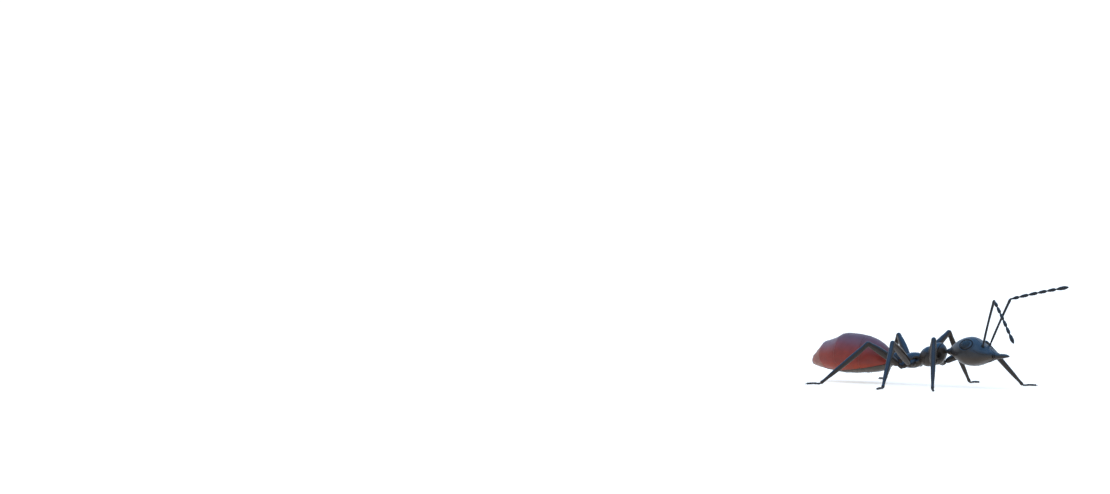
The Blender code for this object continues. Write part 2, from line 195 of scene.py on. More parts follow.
def ridge(distance, width):
    return np.exp(-((distance / width) ** 2))


def step(value, low, high):
    share = np.clip((value - low) / (high - low), 0, 1)
    return share * share * (3 - 2 * share)


def ripple(points, size, seed):
    """A smooth, uneven swell from -1 to 1, with waves about as long as size."""
    dice = np.random.default_rng(seed)
    total = np.zeros(points.shape[:-1])
    for _ in range(7):
        way = dice.normal(size=3)
        way *= 2 * math.pi / (size * np.linalg.norm(way)) * dice.uniform(0.6, 1.5)
        total += np.sin(points @ way + dice.uniform(0, 2 * math.pi))
    return total / 3


def folded_in(rings, at_front=(), at_back=()):
    """Adds rings that turn an end inward: each is a share of the end's own size, set in along Y."""
    def copies(ring, steps):
        middle = ring.mean(axis=0)
        return [middle + (ring - middle) * share + (0, shift, 0) for share, shift in steps]
    return np.array(copies(rings[0], at_front)[::-1] + list(rings) + copies(rings[-1], at_back))


def add_mesh(name, points, faces, finish):
    """A smooth mesh on the ant, from points in millimetres."""
    mesh = bpy.data.meshes.new(name)
    mesh.from_pydata((points * MM).tolist(), [], faces)
    mesh.shade_smooth()
    mesh.materials.append(finish)
    piece = bpy.data.objects.new(name, mesh)
    piece.location = ANT_ORIGIN
    bpy.context.scene.collection.objects.link(piece)
    return piece


def fit_piece(piece, slot, *nodes):
    """Fixes a piece to the ant in place of the solids that it stands for."""
    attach(piece, "root")
    if nodes:
        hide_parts(*nodes)


def build(name, slot, nodes, ring_sets, finish, painted_shades=None, capped=True):
    """A piece from stacks of rings, closed at both ends if capped, with how much painted shade darkens
    each point.
    """
    points, faces, marks, base = [], [], [], 0
    for index, rings in enumerate(ring_sets):
        count, sides = rings.shape[:2]
        ids = base + np.arange(count * sides).reshape(count, sides)
        following = np.roll(ids, -1, axis=1)
        quads = np.stack([ids[:-1], following[:-1], following[1:], ids[1:]], axis=-1).reshape(-1, 4)
        first = np.full(sides, base + count * sides)
        near_end = np.stack([following[0], ids[0], first], axis=-1)
        far_end = np.stack([ids[-1], following[-1], first + 1], axis=-1)
        points.append(np.concatenate([rings.reshape(-1, 3), rings[[0, -1]].mean(axis=1)]))
        corners = np.moveaxis(points[-1][quads - base], 1, 0)
        volume = (corners[0] * np.cross(corners[2], corners[3] - corners[1])).sum()
        turned = slice(None, None, -1) if volume < 0 else slice(None)
        for block in (quads, near_end, far_end) if capped else (quads,):
            faces += block[:, turned].tolist()
        painted_shade = np.zeros((count, sides)) if painted_shades is None else painted_shades[index]
        marks += [painted_shade.ravel(), [painted_shade[0].mean(), painted_shade[-1].mean()]]
        base += len(points[-1])
    piece = add_mesh(name, np.concatenate(points), faces, finish)
    # Each point's painted shade, which darkens the finish and dulls its sheen there.
    painted_shade_layer = piece.data.attributes.new("painted_shade", "FLOAT", "POINT")
    painted_shade_layer.data.foreach_set("value", np.concatenate(marks).astype(np.float32))
    fit_piece(piece, slot, *nodes)


def plug(tree, node, sockets):
    """Sets each of a node's sockets to a value, or joins it to another node's output."""
    for name, given in sockets.items():
        if isinstance(given, bpy.types.NodeSocket):
            tree.links.new(given, node.inputs[name])
        else:
            node.inputs[name].default_value = given


def add_node(tree, kind, sockets, **settings):
    node = tree.nodes.new(kind)
    for name, value in settings.items():
        setattr(node, name, value)
    plug(tree, node, sockets)
    return node


def new_finish(name):
    """An empty finish, with its shader and its coordinates in millimetres."""
    finish = bpy.data.materials.new(name)
    finish.use_nodes = True
    tree = finish.node_tree
    place = tree.nodes.new("ShaderNodeTexCoord").outputs["Object"]
    to_mm = add_node(tree, "ShaderNodeVectorMath", {0: place, "Scale": 1 / MM}, operation="SCALE")
    return finish, tree, tree.nodes["Principled BSDF"], to_mm.outputs[0]


def spread_noise(tree, place, per_mm, detail, low, high):
    """A soft uneven value between low and high, with so many lumps to a millimetre."""
    noise = add_node(tree, "ShaderNodeTexNoise", {"Scale": per_mm, "Detail": detail, "Vector": place})
    spread = {"Value": noise.outputs["Fac"], "From Min": NOISE_LOW, "From Max": NOISE_HIGH}
    spread |= {"To Min": low, "To Max": high}
    return add_node(tree, "ShaderNodeMapRange", spread).outputs["Result"]


def blend_colours(tree, kind, share, first, second):
    """Mixes two colours. Each of share, first and second is a value or another node's output."""
    sockets = {0: share, 6: first, 7: second}
    return add_node(tree, "ShaderNodeMix", sockets, data_type="RGBA", blend_type=kind).outputs[2]


def clouded(tree, place, colour, per_mm, detail, low, high):
    """A colour that is darker and lighter in soft patches."""
    cloud = spread_noise(tree, place, per_mm, detail, low, high)
    return blend_colours(tree, "MULTIPLY", 1, colour, cloud)


def facing_up(tree, low=-1, high=1):
    """How far the surface faces up, from 0 where its slope is low to 1 where it is high."""
    surface = tree.nodes.new("ShaderNodeNewGeometry")
    slope = add_node(tree, "ShaderNodeSeparateXYZ", {0: surface.outputs["Normal"]}).outputs["Z"]
    spread = add_node(tree, "ShaderNodeMapRange", {"Value": slope, "From Min": low, "From Max": high})
    return spread.outputs["Result"]


def raised_grain(tree, place, shader, layers):
    """Relief from fine to coarse. Each layer is (kind, lumps to a millimetre, strength, height)."""
    wavy = {"Distortion": 3, "Detail": 2}
    kinds = {"cells": ("ShaderNodeTexVoronoi", "Distance", {}, {"feature": "DISTANCE_TO_EDGE"}),
             "lines": ("ShaderNodeTexWave", "Fac", wavy, {"bands_direction": "Y"}),
             "noise": ("ShaderNodeTexNoise", "Fac", {"Detail": 3}, {})}
    normal = {}
    for kind, per_mm, strength, height in layers:
        pattern, fac, sockets, settings = kinds[kind]
        grain = add_node(tree, pattern, {"Scale": per_mm, "Vector": place, **sockets}, **settings)
        relief = {"Strength": strength, "Distance": height * MM, "Height": grain.outputs[fac], **normal}
        normal = {"Normal": add_node(tree, "ShaderNodeBump", relief).outputs["Normal"]}
    plug(tree, shader, normal)


def chitin(name, tints, roughness, grain, painted_shade_tint=PAINTED_SHADE_TINT, turn_at=0.5):
    """Polished insect shell: its tint turns from the back to the belly by the way the surface faces, as
    a painted sky reflection above and a painted floor bounce below, and painted shade darkens its
    creases and dulls their sheen.
    """
    finish, tree, shader, place = new_finish(name)
    above, side, below = ((*tint, 1) for tint in tints)
    # Painted sky reflection and floor bounce: the tint is chosen by how far the surface faces up.
    tint = add_node(tree, "ShaderNodeValToRGB", {"Fac": facing_up(tree)})
    tint.color_ramp.interpolation = "EASE"
    stops = tint.color_ramp.elements
    stops[0].position, stops[1].position = BELLY_STOP, BACK_STOP
    stops[0].color, stops[1].color = below, above
    stops.new(turn_at).color = side
    colour = clouded(tree, place, tint.outputs["Color"], *SHELL_CLOUDS)
    # Painted shade: creases, pits and hidden parts are darkened towards the shade tint and lose their
    # sheen.
    painted_shade = add_node(tree, "ShaderNodeAttribute", {}, attribute_name="painted_shade").outputs["Fac"]
    sheen = {"Value": painted_shade, "To Min": SHELL_SHEEN, "To Max": PAINTED_SHADE_SHEEN}
    plug(tree, shader, {
        "Base Color": blend_colours(tree, "MIX", painted_shade, colour, (*painted_shade_tint, 1)),
        "Roughness": spread_noise(tree, place, 3.5, 3, roughness - 0.06, roughness + 0.08),
        "Specular IOR Level": add_node(tree, "ShaderNodeMapRange", sheen).outputs["Result"],
        "IOR": SHELL_IOR, "Coat Weight": SHELL_COAT, "Coat Roughness": SHELL_COAT_ROUGHNESS})
    raised_grain(tree, place, shader, grain)
    return finish


def eye_frame(side):
    """The turn of an eye, whose own X points out of the head."""
    tilt, turn = Matrix.Rotation(-side * EYE_TILT, 3, "Y"), Matrix.Rotation(-side * EYE_TURN, 3, "Z")
    return np.array(tilt @ turn)


def head_surface():
    """The head's rings with its rims, keels and sutures, and how much painted shade darkens each point.
    """
    to_mouth = (1 - evenly(HEAD_RINGS)) ** RINGS_TO_MOUTH
    rings = egg_rings(HEAD, HEAD_BACK_Y - (HEAD_BACK_Y - MOUTH_Y) * to_mouth, full_turn(HEAD_SIDES))
    rings[..., 0] *= 1 - JAW_NOTCH * step(-rings[..., 1], -JAW_NOTCH_FROM, -JAW_NOTCH_TO)
    out = rings_out(rings)
    x, y = rings[..., 0], rings[..., 1]
    lift = HEAD_WAVE_HEIGHT * ripple(rings, HEAD_WAVE_LENGTH, HEAD_SEED)
    # How much each point is darkened as painted shade: in the sutures, the cheek seam, the nape groove,
    # the groove round each eye and the antenna socket pits.
    painted_shade = np.zeros_like(lift)
    plan = np.stack([np.abs(x), y], axis=-1)
    for points, width, height, line_painted_shade, face in HEAD_LINES:
        line = ridge(away_from(plan, points), width) * step(face * out[..., 2], 0, 0.3)
        lift += height * line
        painted_shade = np.maximum(painted_shade, line_painted_shade * line)

    cheek = ridge(away_from(rings[..., 1:], CHEEK_SEAM), CHEEK_SEAM_WIDTH) * step(np.abs(x), 0.6, 0.9)
    nape_groove = ridge(y - NAPE_GROOVE_Y, NAPE_GROOVE_WIDTH)
    lift += NAPE_RIM_HEIGHT * ridge(y - NAPE_RIM_Y, NAPE_RIM_WIDTH)
    lift -= CHEEK_SEAM_DEPTH * cheek + NAPE_GROOVE_DEPTH * nape_groove
    painted_shade = np.maximum.reduce([painted_shade, CHEEK_PAINTED_SHADE * cheek, NAPE_PAINTED_SHADE * nape_groove])

    for side in LEFT_AND_RIGHT.values():
        local = (rings - mirrored(EYE_PLACE, side)) @ eye_frame(side)
        reach = np.hypot(local[..., 1] / EYE_RADII[1], local[..., 2] / EYE_RADII[2])
        outer_side = step(side * local[..., 0], -0.9, -0.5)
        rim = ridge(reach - EYE_RIM_AT, EYE_RIM_WIDTH) * outer_side
        groove = ridge(reach - EYE_GROOVE_AT, EYE_GROOVE_WIDTH) * outer_side
        socket = mirrored(SOCKET_PLACE, side)
        nearest = np.unravel_index(np.argmin(np.linalg.norm(rings - socket, axis=-1)), x.shape)
        gap = np.linalg.norm(rings - rings[nearest], axis=-1)
        pit = ridge(gap, SOCKET_PIT)
        lift += EYE_RIM_HEIGHT * rim - EYE_GROOVE_DEPTH * groove - SOCKET_PIT_DEPTH * pit
        lift += SOCKET_RING_HEIGHT * ridge(gap - SOCKET_RING, SOCKET_RING_WIDTH)
        painted_shade = np.maximum.reduce([painted_shade, groove, pit])
    return rings + out * lift[..., None], out, painted_shade


SHELL_GRAIN = (("cells", 11, 0.12, 0.004), ("noise", 4, 0.25, 0.010), ("noise", 1.1, 0.2, 0.03))
head_finish = chitin("black_head_shell_painted_sky_sheen", HEAD_PAINTED_LIGHT_TINTS, 0.33, SHELL_GRAIN)
head_rings, head_out, head_painted_shade = head_surface()
mouth_rings = folded_in(head_rings, at_front=MOUTH_LIP)
# The turned-in mouth rim is darkened as painted shade.
mouth_painted_shade = np.concatenate([np.full((len(MOUTH_LIP), HEAD_SIDES), MOUTH_PAINTED_SHADE), head_painted_shade])
collar_ys = np.linspace(NECK_COLLAR[0][0], NECK_COLLAR[-1][0], COLLAR_RINGS)[:, None]
collar_girth, collar_turn = through(NECK_COLLAR, collar_ys), full_turn(COLLAR_SIDES)
collar_rings = np.stack([collar_girth * np.cos(collar_turn), collar_ys + 0 * collar_turn,
                         NECK_COLLAR_Z + collar_girth * np.sin(collar_turn)], axis=-1)
build("head_capsule", "body", ["head"], [mouth_rings, collar_rings], head_finish,
      [mouth_painted_shade, np.zeros((COLLAR_RINGS, COLLAR_SIDES))])


# Compound eyes
# Each eye is a low dome of over a thousand tiny lenses, packed in six-sided cells, on the upper
# side of the head. The dome sits half its depth inside the head, within a raised rim.

EYE_CELL_SPLITS = 5
LENS_EDGE, LENS_SHOULDER, LENS_TOP, LENS_CROWN = 0.982, 1, 1.006, 0.62
# The upper side of each eye is painted blue as a sky reflection.
EYE_PAINTED_SKY_TINT, EYE_BELOW = (0.001, 0.022, 0.048, 1), (0.003, 0.002, 0.002, 1)


def lens_dome():
    """Points and faces of a ball of lenses: the six-sided cells round each corner of a fine globe."""
    globe = bmesh.new()
    bmesh.ops.create_icosphere(globe, subdivisions=EYE_CELL_SPLITS, radius=1)
    middles = [face.calc_center_median().normalized() for face in globe.faces]
    globe.faces.index_update()
    points, faces = [middle * LENS_EDGE for middle in middles], []
    for vert in globe.verts:
        pole = vert.co.normalized()
        side_way = pole.orthogonal().normalized()
        other_way = pole.cross(side_way)
        around = sorted((face.index for face in vert.link_faces), key=lambda index: math.atan2(
            middles[index].dot(other_way), middles[index].dot(side_way)))
        shoulder = len(points)
        crown = [pole.lerp(middles[index], LENS_CROWN).normalized() for index in around]
        points += [corner * LENS_SHOULDER for corner in crown]
        top = len(points)
        points.append(pole * LENS_TOP)
        for place, index in enumerate(around):
            following = (place + 1) % len(around)
            faces.append((index, around[following], shoulder + following, shoulder + place))
            faces.append((shoulder + place, shoulder + following, top))
    globe.free()
    return np.array(points), faces


lens_finish, lens_tree, lens_shader, lens_place = new_finish("dark_eye_lenses")
# Painted sky reflection: bluer where the lenses face up.
lens_painted_sky_tint = blend_colours(lens_tree, "MIX", facing_up(lens_tree, -0.3, 0.95), EYE_BELOW, EYE_PAINTED_SKY_TINT)
plug(lens_tree, lens_shader, {
    "Base Color": clouded(lens_tree, lens_place, lens_painted_sky_tint, 2.5, 2, 0.75, 1.25),
    "Roughness": spread_noise(lens_tree, lens_place, 5, 2, 0.2, 0.3),
    "IOR": 1.33, "Coat Weight": 0.15, "Coat Roughness": 0.06})
lens_points, lens_faces = lens_dome()
for side_name, side in LEFT_AND_RIGHT.items():
    dome = lens_points * EYE_RADII @ eye_frame(side).T + mirrored(EYE_PLACE, side)
    compound_eye = add_mesh(f"compound_eye_{side_name}", dome, lens_faces, lens_finish)
    fit_piece(compound_eye, "eye", f"eye_{side_name}")


# Mandibles
# Two closed jaws of thick black chitin, hinged at the corners of the mouth. Each is deep at its
# outer side, thin along its toothed inner edge, and curves in to a point in front of the mouth.

JAW_SPINE = (  # y, outer x, inner x, middle z, half depth
    (-12.6, 0.13, 0.035, 4.17, 0.06), (-12.5, 0.25, 0.03, 4.17, 0.13), (-12.3, 0.44, 0.035, 4.17, 0.21),
    (-12, 0.67, 0.04, 4.17, 0.30), (-11.6, 0.89, 0.05, 4.15, 0.38), (-11.2, 1.01, 0.20, 4.13, 0.42),
    (-10.8, 1.00, 0.33, 4.12, 0.40), (-10.6, 0.90, 0.30, 4.11, 0.36),
)
JAW_COLLAR_Y, JAW_COLLAR_HEIGHT, JAW_GROOVE_Y, JAW_GROOVE_DEPTH = -10.82, 0.06, -10.97, 0.04
JAW_TEETH, JAW_TOOTH_DEPTH, JAW_TOOTH_LEAN = 6, 0.1, 0.35
JAW_TOOTH_FROM, JAW_TOOTH_TO = -11.5, -12.45
JAW_RINGS, JAW_SIDES = 110, 48
# Painted light: blue on the back as a sky reflection, warm brown on the belly as a floor bounce.
JAW_PAINTED_LIGHT_TINTS = ((0.012, 0.035, 0.065), (0.014, 0.012, 0.012), (0.030, 0.015, 0.008))


def jaw_rings(side):
    """A jaw as rings from hinge to point, with saw teeth along the inner edge, and its painted shade."""
    ys = np.linspace(JAW_SPINE[-1][0], JAW_SPINE[0][0], JAW_RINGS)
    outer, inner, middle, depth = (through(JAW_SPINE, ys, column) for column in (1, 2, 3, 4))
    along = np.clip((ys - JAW_TOOTH_FROM) / (JAW_TOOTH_TO - JAW_TOOTH_FROM), 0, 1)
    saw = np.abs(((along * JAW_TEETH) % 1) - JAW_TOOTH_LEAN) / (1 - JAW_TOOTH_LEAN)
    toothed = (along > 0) & (along < 1)
    inner = inner + np.where(toothed, JAW_TOOTH_DEPTH * saw * (1 - 0.5 * along), 0)
    groove = ridge(ys - JAW_GROOVE_Y, 0.05)
    swell = JAW_COLLAR_HEIGHT * ridge(ys - JAW_COLLAR_Y, 0.07) - JAW_GROOVE_DEPTH * groove
    turn = full_turn(JAW_SIDES)
    across = (1 + np.cos(turn)) / 2
    x = inner[:, None] + (outer + swell - inner)[:, None] * across
    y = ys[:, None] + 0.05 * (1 - across)
    fullness = np.sin(turn) * np.sqrt(0.12 + 0.88 * across) * (0.86 + 0.14 * across)
    z = middle[:, None] + (depth + swell)[:, None] * fullness
    # Painted shade in the groove at the jaw's base and over the part inside the head.
    painted_shade = np.maximum(groove, step(ys, JAW_COLLAR_Y, JAW_COLLAR_Y + 0.1))[:, None] + 0 * x
    return np.stack([side * x, y, z], axis=-1), np.clip(painted_shade, 0, 1)


JAW_GRAIN = (("lines", 6, 0.15, 0.006), ("noise", 6, 0.2, 0.006))
jaw_finish = chitin("black_jaw_shell", JAW_PAINTED_LIGHT_TINTS, 0.27, JAW_GRAIN)
for side_name, side in LEFT_AND_RIGHT.items():
    rings, painted_shade = jaw_rings(side)
    build(f"jaw_{side_name}", "mandible", [f"mandible_{side_name}"], [rings], jaw_finish, [painted_shade])


# Mouth parts
# Below the jaws lie a small flap of a lip, the tongue's case, and two pairs of jointed palps folded
# back under the chin. They are thin brown-black chitin, fixed inside the mouth.

LIP_AND_TONGUE = (  # a path, a half depth and a half width
    (((0, -10.9, 3.98), (0, -11.2, 3.96), (0, -11.5, 3.98)), 0.07, 0.3),
    (((0, -10.3, 3.6), (0, -10.75, 3.76), (0, -11.2, 3.86)), 0.1, 0.24),
)
PALPS = (  # a path, the number of its joints and their radius
    (((0.28, -10.95, 3.95), (0.38, -10.85, 3.88), (0.44, -10.5, 3.69), (0.46, -10.1, 3.48),
      (0.44, -9.7, 3.31)), 6, 0.045),
    (((0.14, -10.95, 3.9), (0.18, -10.85, 3.84), (0.2, -10.5, 3.66), (0.2, -10.15, 3.47)), 4, 0.035),
)
FLAP_RINGS, PALP_STEPS = 25, 12
PALP_BROWN = (0.024, 0.016, 0.012)


def smooth_path(points, count):
    """A smooth path through points, read at even steps."""
    lengths = np.linalg.norm(np.diff(points, axis=0), axis=1)
    places = np.concatenate([[0], np.cumsum(lengths)])
    stops, at = np.column_stack([places, points]), np.linspace(0, places[-1], count)
    return np.stack([through(stops, at, column) for column in (1, 2, 3)], axis=-1)


def rod_rings(path, sides, deep, wide, top_way=(0, 0, 1)):
    """Rings round a bent rod. deep is its radius towards top_way, and wide the one across that."""
    along, top_way = to_unit(np.gradient(path, axis=0)), np.array(top_way)
    top = to_unit(top_way - along * (along @ top_way)[:, None])
    up, over = top * deep[:, None], np.cross(along, top) * wide[:, None]
    turn = full_turn(sides)[:, None]
    return path[:, None] + up[:, None] * np.sin(turn) + over[:, None] * np.cos(turn)


def round_ends(count, share):
    """A rod's fullness from 0 to 1 and back, full but for a rounded stretch at either end."""
    place = evenly(count)
    from_end = np.clip(np.minimum(place, 1 - place) / share, 0.02, 1)
    return np.sqrt(1 - (1 - from_end) ** 2)


mouth_finish = chitin("brown_mouth_parts", (PALP_BROWN,) * 3, 0.4, (("noise", 8, 0.25, 0.006),))
mouth_rods = []
for points, deep, wide in LIP_AND_TONGUE:
    fullness = round_ends(FLAP_RINGS, 0.3)
    mouth_rods.append(rod_rings(smooth_path(points, FLAP_RINGS), 24, deep * fullness, wide * fullness))
for side in LEFT_AND_RIGHT.values():
    for points, joints, radius in PALPS:
        path = smooth_path(mirrored(points, side), joints * PALP_STEPS + 1)
        for joint in range(joints):
            stretch = path[joint * PALP_STEPS : (joint + 1) * PALP_STEPS + 1]
            girth = round_ends(len(stretch), 0.25) * radius * (1 - 0.35 * joint / joints)
            mouth_rods.append(rod_rings(stretch, 14, girth, girth))
build("mouth_parts", "body", [], mouth_rods, mouth_finish)


# Antennae
# Each feeler is a long thin scape on a round knob in its socket, an elbow, and six spindle-shaped
# beads, the last one longest. All but the first bead are two fused joints, with a fine seam between.

ANTENNA_ROOT = (1.03, -9.43, 5.48)
SCAPE_LENGTH, FLAGELLUM_LENGTH = 6.37, 7.52
FEELER_TURNS = {  # how far forward and how far up the scape points, and then the flagellum
    "left": (74.5, 67.1, 70.7, 12.9),
    "right": (53.3, 65, 52.3, -43.4),
}
SCAPE_SHAPE = ((0, 0.13), (0.05, 0.175), (0.09, 0.11), (0.14, 0.13), (0.5, 0.145), (0.9, 0.17),
               (0.97, 0.175), (1, 0.12))
SCAPE_BOW, SCAPE_SUNK, ELBOW_LAP = (0, 0.06, 0), 0.38, 0.08
FLAGELLUM_SAG = (0, 0, 0.08)
FLAGELLUM_BEADS, LAST_BEAD, FLAGELLUM_STEPS = 6, 1.4, 480
FIRST_BEAD_SHAPE = ((0, 0.13), (0.18, 0.11), (0.3, 0.13), (0.65, 0.22), (0.85, 0.185), (0.96, 0.11),
                    (1, 0.08))
BEAD_SHAPE = ((0, 0.08), (0.06, 0.11), (0.25, 0.18), (0.42, 0.21), (0.48, 0.195), (0.54, 0.215),
              (0.7, 0.22), (0.86, 0.185), (0.96, 0.11), (1, 0.08))
LAST_BEAD_SHAPE = ((0, 0.08), (0.06, 0.12), (0.25, 0.205), (0.42, 0.245), (0.47, 0.23), (0.52, 0.25),
                   (0.68, 0.24), (0.85, 0.16), (0.95, 0.08), (1, 0.015))
# Painted light: blue on the back as a sky reflection, warm brown on the belly as a floor bounce.
FEELER_PAINTED_LIGHT_TINTS = ((0.003, 0.012, 0.026), (0.001, 0.002, 0.004), (0.004, 0.002, 0.001))


def pointing(side, forward, lift):
    """Unit vector out to a side, turned forward and lifted by degrees."""
    forward, lift = math.radians(forward), math.radians(lift)
    level = math.cos(lift)
    return np.array([side * math.cos(forward) * level, -math.sin(forward) * level, math.sin(lift)])


def bowed(start, end, bow, count):
    """A path from start to end that bows by so many millimetres in the middle."""
    share = evenly(count)[:, None]
    return start + (end - start) * share + np.sin(math.pi * share) * bow


def shaped_rod(path, shape, sides, rounding=0, flatness=1, top_way=(0, 0, 1)):
    """A rod whose radius follows a shape, with its ends rounded over a share of its length."""
    girth = through(shape, evenly(len(path)))
    if rounding:
        girth = girth * round_ends(len(path), rounding)
    return rod_rings(path, sides, girth, girth * flatness, top_way)


feeler_finish = chitin("black_feeler_shell", FEELER_PAINTED_LIGHT_TINTS, 0.36,
                       (("cells", 16, 0.15, 0.003), ("noise", 9, 0.25, 0.006)))
feeler_skins = {}
for side_name, side in LEFT_AND_RIGHT.items():
    root = mirrored(ANTENNA_ROOT, side)
    scape_forward, scape_up, flagellum_forward, flagellum_up = FEELER_TURNS[side_name]
    scape_way = pointing(side, scape_forward, scape_up)
    elbow = root + scape_way * SCAPE_LENGTH
    scape_path = bowed(root - scape_way * SCAPE_SUNK, elbow + scape_way * ELBOW_LAP, SCAPE_BOW, 120)
    scape_rod = shaped_rod(scape_path, SCAPE_SHAPE, 24, 0.015, top_way=(0, -1, 0.2))
    build(f"scape_shell_{side_name}", "feeler", [f"scape_{side_name}"], [scape_rod], feeler_finish)

    tip = elbow + pointing(side, flagellum_forward, flagellum_up) * FLAGELLUM_LENGTH
    flagellum_path = bowed(elbow, tip, FLAGELLUM_SAG, FLAGELLUM_STEPS + 1)
    unit = FLAGELLUM_STEPS / (FLAGELLUM_BEADS - 1 + LAST_BEAD)
    beads = []
    for number in range(FLAGELLUM_BEADS):
        last = number == FLAGELLUM_BEADS - 1
        start, end = number * unit, FLAGELLUM_STEPS if last else (number + 1) * unit
        shape = LAST_BEAD_SHAPE if last else BEAD_SHAPE if number else FIRST_BEAD_SHAPE
        beads.append(shaped_rod(flagellum_path[round(start) : round(end) + 1], shape, 24))
    build(f"flagellum_beads_{side_name}", "feeler", [f"flagellum_{side_name}"], beads, feeler_finish)
    feeler_skins[side_name] = [scape_rod, *beads]


# Neck and joint skin
# Soft, finely wrinkled brown skin joins the hard plates where they move: in the neck, along the
# trunk and in the waist. Only narrow rings of it show between the plates.

NECK_PATH = ((0, -4.9, 4.56), (0, -4.2, 4.51), (0, -3.5, 4.44))
NECK_RADIUS, NECK_WRINKLE, NECK_WRINKLES, NECK_FLARE = 0.225, 0.022, 7, 0.03
TRUNK_CORE = ((0, -3.6, 4.19), (0, -2.2, 3.87), (0, -0.6, 3.49), (0, 1.2, 3.11),
              (0, 2.6, 2.98), (0, 3.4, 2.92), (0, 4.1, 2.88))
TRUNK_CORE_GIRTH = ((0, 0.3), (0.2, 0.7), (0.45, 0.6), (0.7, 0.55), (0.85, 0.28), (1, 0.24))
CORE_WRINKLE, CORE_WRINKLES = 0.04, 30
NECK_RINGS, CORE_RINGS = 80, 120
SKIN_BROWN = (0.018, 0.013, 0.010)

neck_finish = chitin("brown_joint_skin", (SKIN_BROWN,) * 3, 0.5,
                     (("lines", 9, 0.4, 0.012), ("noise", 10, 0.3, 0.006)))
neck_places = evenly(NECK_RINGS)
neck_girth = NECK_RADIUS + NECK_WRINKLE * np.sin(neck_places * 2 * NECK_WRINKLES * math.pi)
neck_girth += NECK_FLARE * (2 * neck_places - 1) ** 2
neck_rod = rod_rings(smooth_path(NECK_PATH, NECK_RINGS), 40, neck_girth, neck_girth)
core_girth = through(TRUNK_CORE_GIRTH, evenly(CORE_RINGS))
core_wave = np.sin(np.linspace(0, 2 * CORE_WRINKLES * math.pi, CORE_RINGS))
core_girth = core_girth * (1 + CORE_WRINKLE * core_wave)
core_rod = rod_rings(smooth_path(TRUNK_CORE, CORE_RINGS), 40, core_girth, core_girth)
build("neck_and_joint_skin", "body", ["neck"], [neck_rod, core_rod], neck_finish)


# Trunk
# Three hard lumps of shell, one behind the other: the pronotum, the mesonotum and the propodeum.
# Sutures part the plates of their sides, and each side has its breathing holes with a raised ring.

PRONOTUM = {"front": (-4.2, 4.36), "back": (-1, 3.85), "width": 2.7, "top": 5.56, "bottom": 2.73,
            "tapers": (0.52, 0.6), "profile": (
                (-3.82, 0.42, 0.32, 0.42), (-3.66, 0.68, 0.58, 0.68), (-3.38, 0.88, 0.84, 0.88),
                (-3.05, 0.98, 0.98, 0.98), (-2.7, 1, 1, 1), (-1, 1, 1, 1))}
MESONOTUM = {"front": (-2.9, 3.88), "back": (-0.15, 3.53), "width": 2.5, "top": 5.07, "bottom": 2.46,
             "tapers": (0.5, 0.5)}
PROPODEUM = {"front": (-0.65, 3.34), "back": (3.3, 2.97), "width": 2.1, "top": 4.19, "bottom": 2.17,
             "tapers": (0.45, 0.75)}
# Each plate: its egg, where its rings start and end, its side sutures as (y, z), its sutures across
# the back as y, and its hollows as (y, z, size of the ring round it, size, tallness).
TRUNK_PLATES = {
    "pronotum": (PRONOTUM, -3.82, -1.76,
                 (((-3.7, 3.9), (-3.4, 3.5), (-2.8, 3.38), (-2.2, 3.72), (-1.8, 4.26)),),
                 (-3.3,), ((-3.4, 4.03, 0, 0.28, 2),)),
    "mesonotum": (MESONOTUM, -2.7, -0.16,
                  (((-1.9, 4.21), (-1.35, 3.7), (-0.8, 3.54), (-0.3, 3.64)),
                   ((-1.35, 3.7), (-1.2, 3.05), (-1.05, 2.55))),
                  (-0.78,), ((-1.62, 4.21, 0.1, 0.06, 1), (-0.52, 4.19, 0.09, 0.05, 1))),
    "propodeum": (PROPODEUM, -0.645, 3.2,
                  (((-0.3, 2.89), (0.5, 2.77), (1.4, 2.65), (2.4, 2.74)),
                   ((0.6, 2.77), (0.85, 2.21))),
                  (), ((0.02, 3.41, 0.42, 0.28, 0.8), (2.2, 2.89, 0.1, 0.07, 1))),
}
HIND_LIP = ((0.985, 0.03), (0.95, 0.04), (0.88, 0.02), (0.8, -0.03))
# Sutures, the hind line and the pits are darkened by painted shade.
SIDE_SEAM_WIDTH, SIDE_SEAM_DEPTH, SIDE_SEAM_PAINTED_SHADE = 0.04, 0.045, 0.85
BACK_SEAM_WIDTH, BACK_SEAM_DEPTH, BACK_SEAM_PAINTED_SHADE, BACK_SEAM_ARCH = 0.045, 0.045, 0.8, 0.12
BACK_FOLD_BEHIND, BACK_FOLD_WIDTH, BACK_FOLD_HEIGHT = 0.09, 0.07, 0.03
HIND_RIM_AHEAD, HIND_RIM_HEIGHT, HIND_LINE_AHEAD, HIND_LINE_WIDTH, HIND_LINE_PAINTED_SHADE = 0.3, 0.03, 0.16, 0.03, 0.5
TRUNK_WAVE_HEIGHT, TRUNK_WAVE_LENGTH = 0.01, 0.9
TRUNK_RINGS, TRUNK_SIDES = 120, 180
# Painted light: blue on the back as a sky reflection, warm brown on the belly as a floor bounce.
TRUNK_PAINTED_LIGHT_TINTS = ((0.004, 0.034, 0.078), (0.022, 0.015, 0.011), (0.040, 0.028, 0.018))


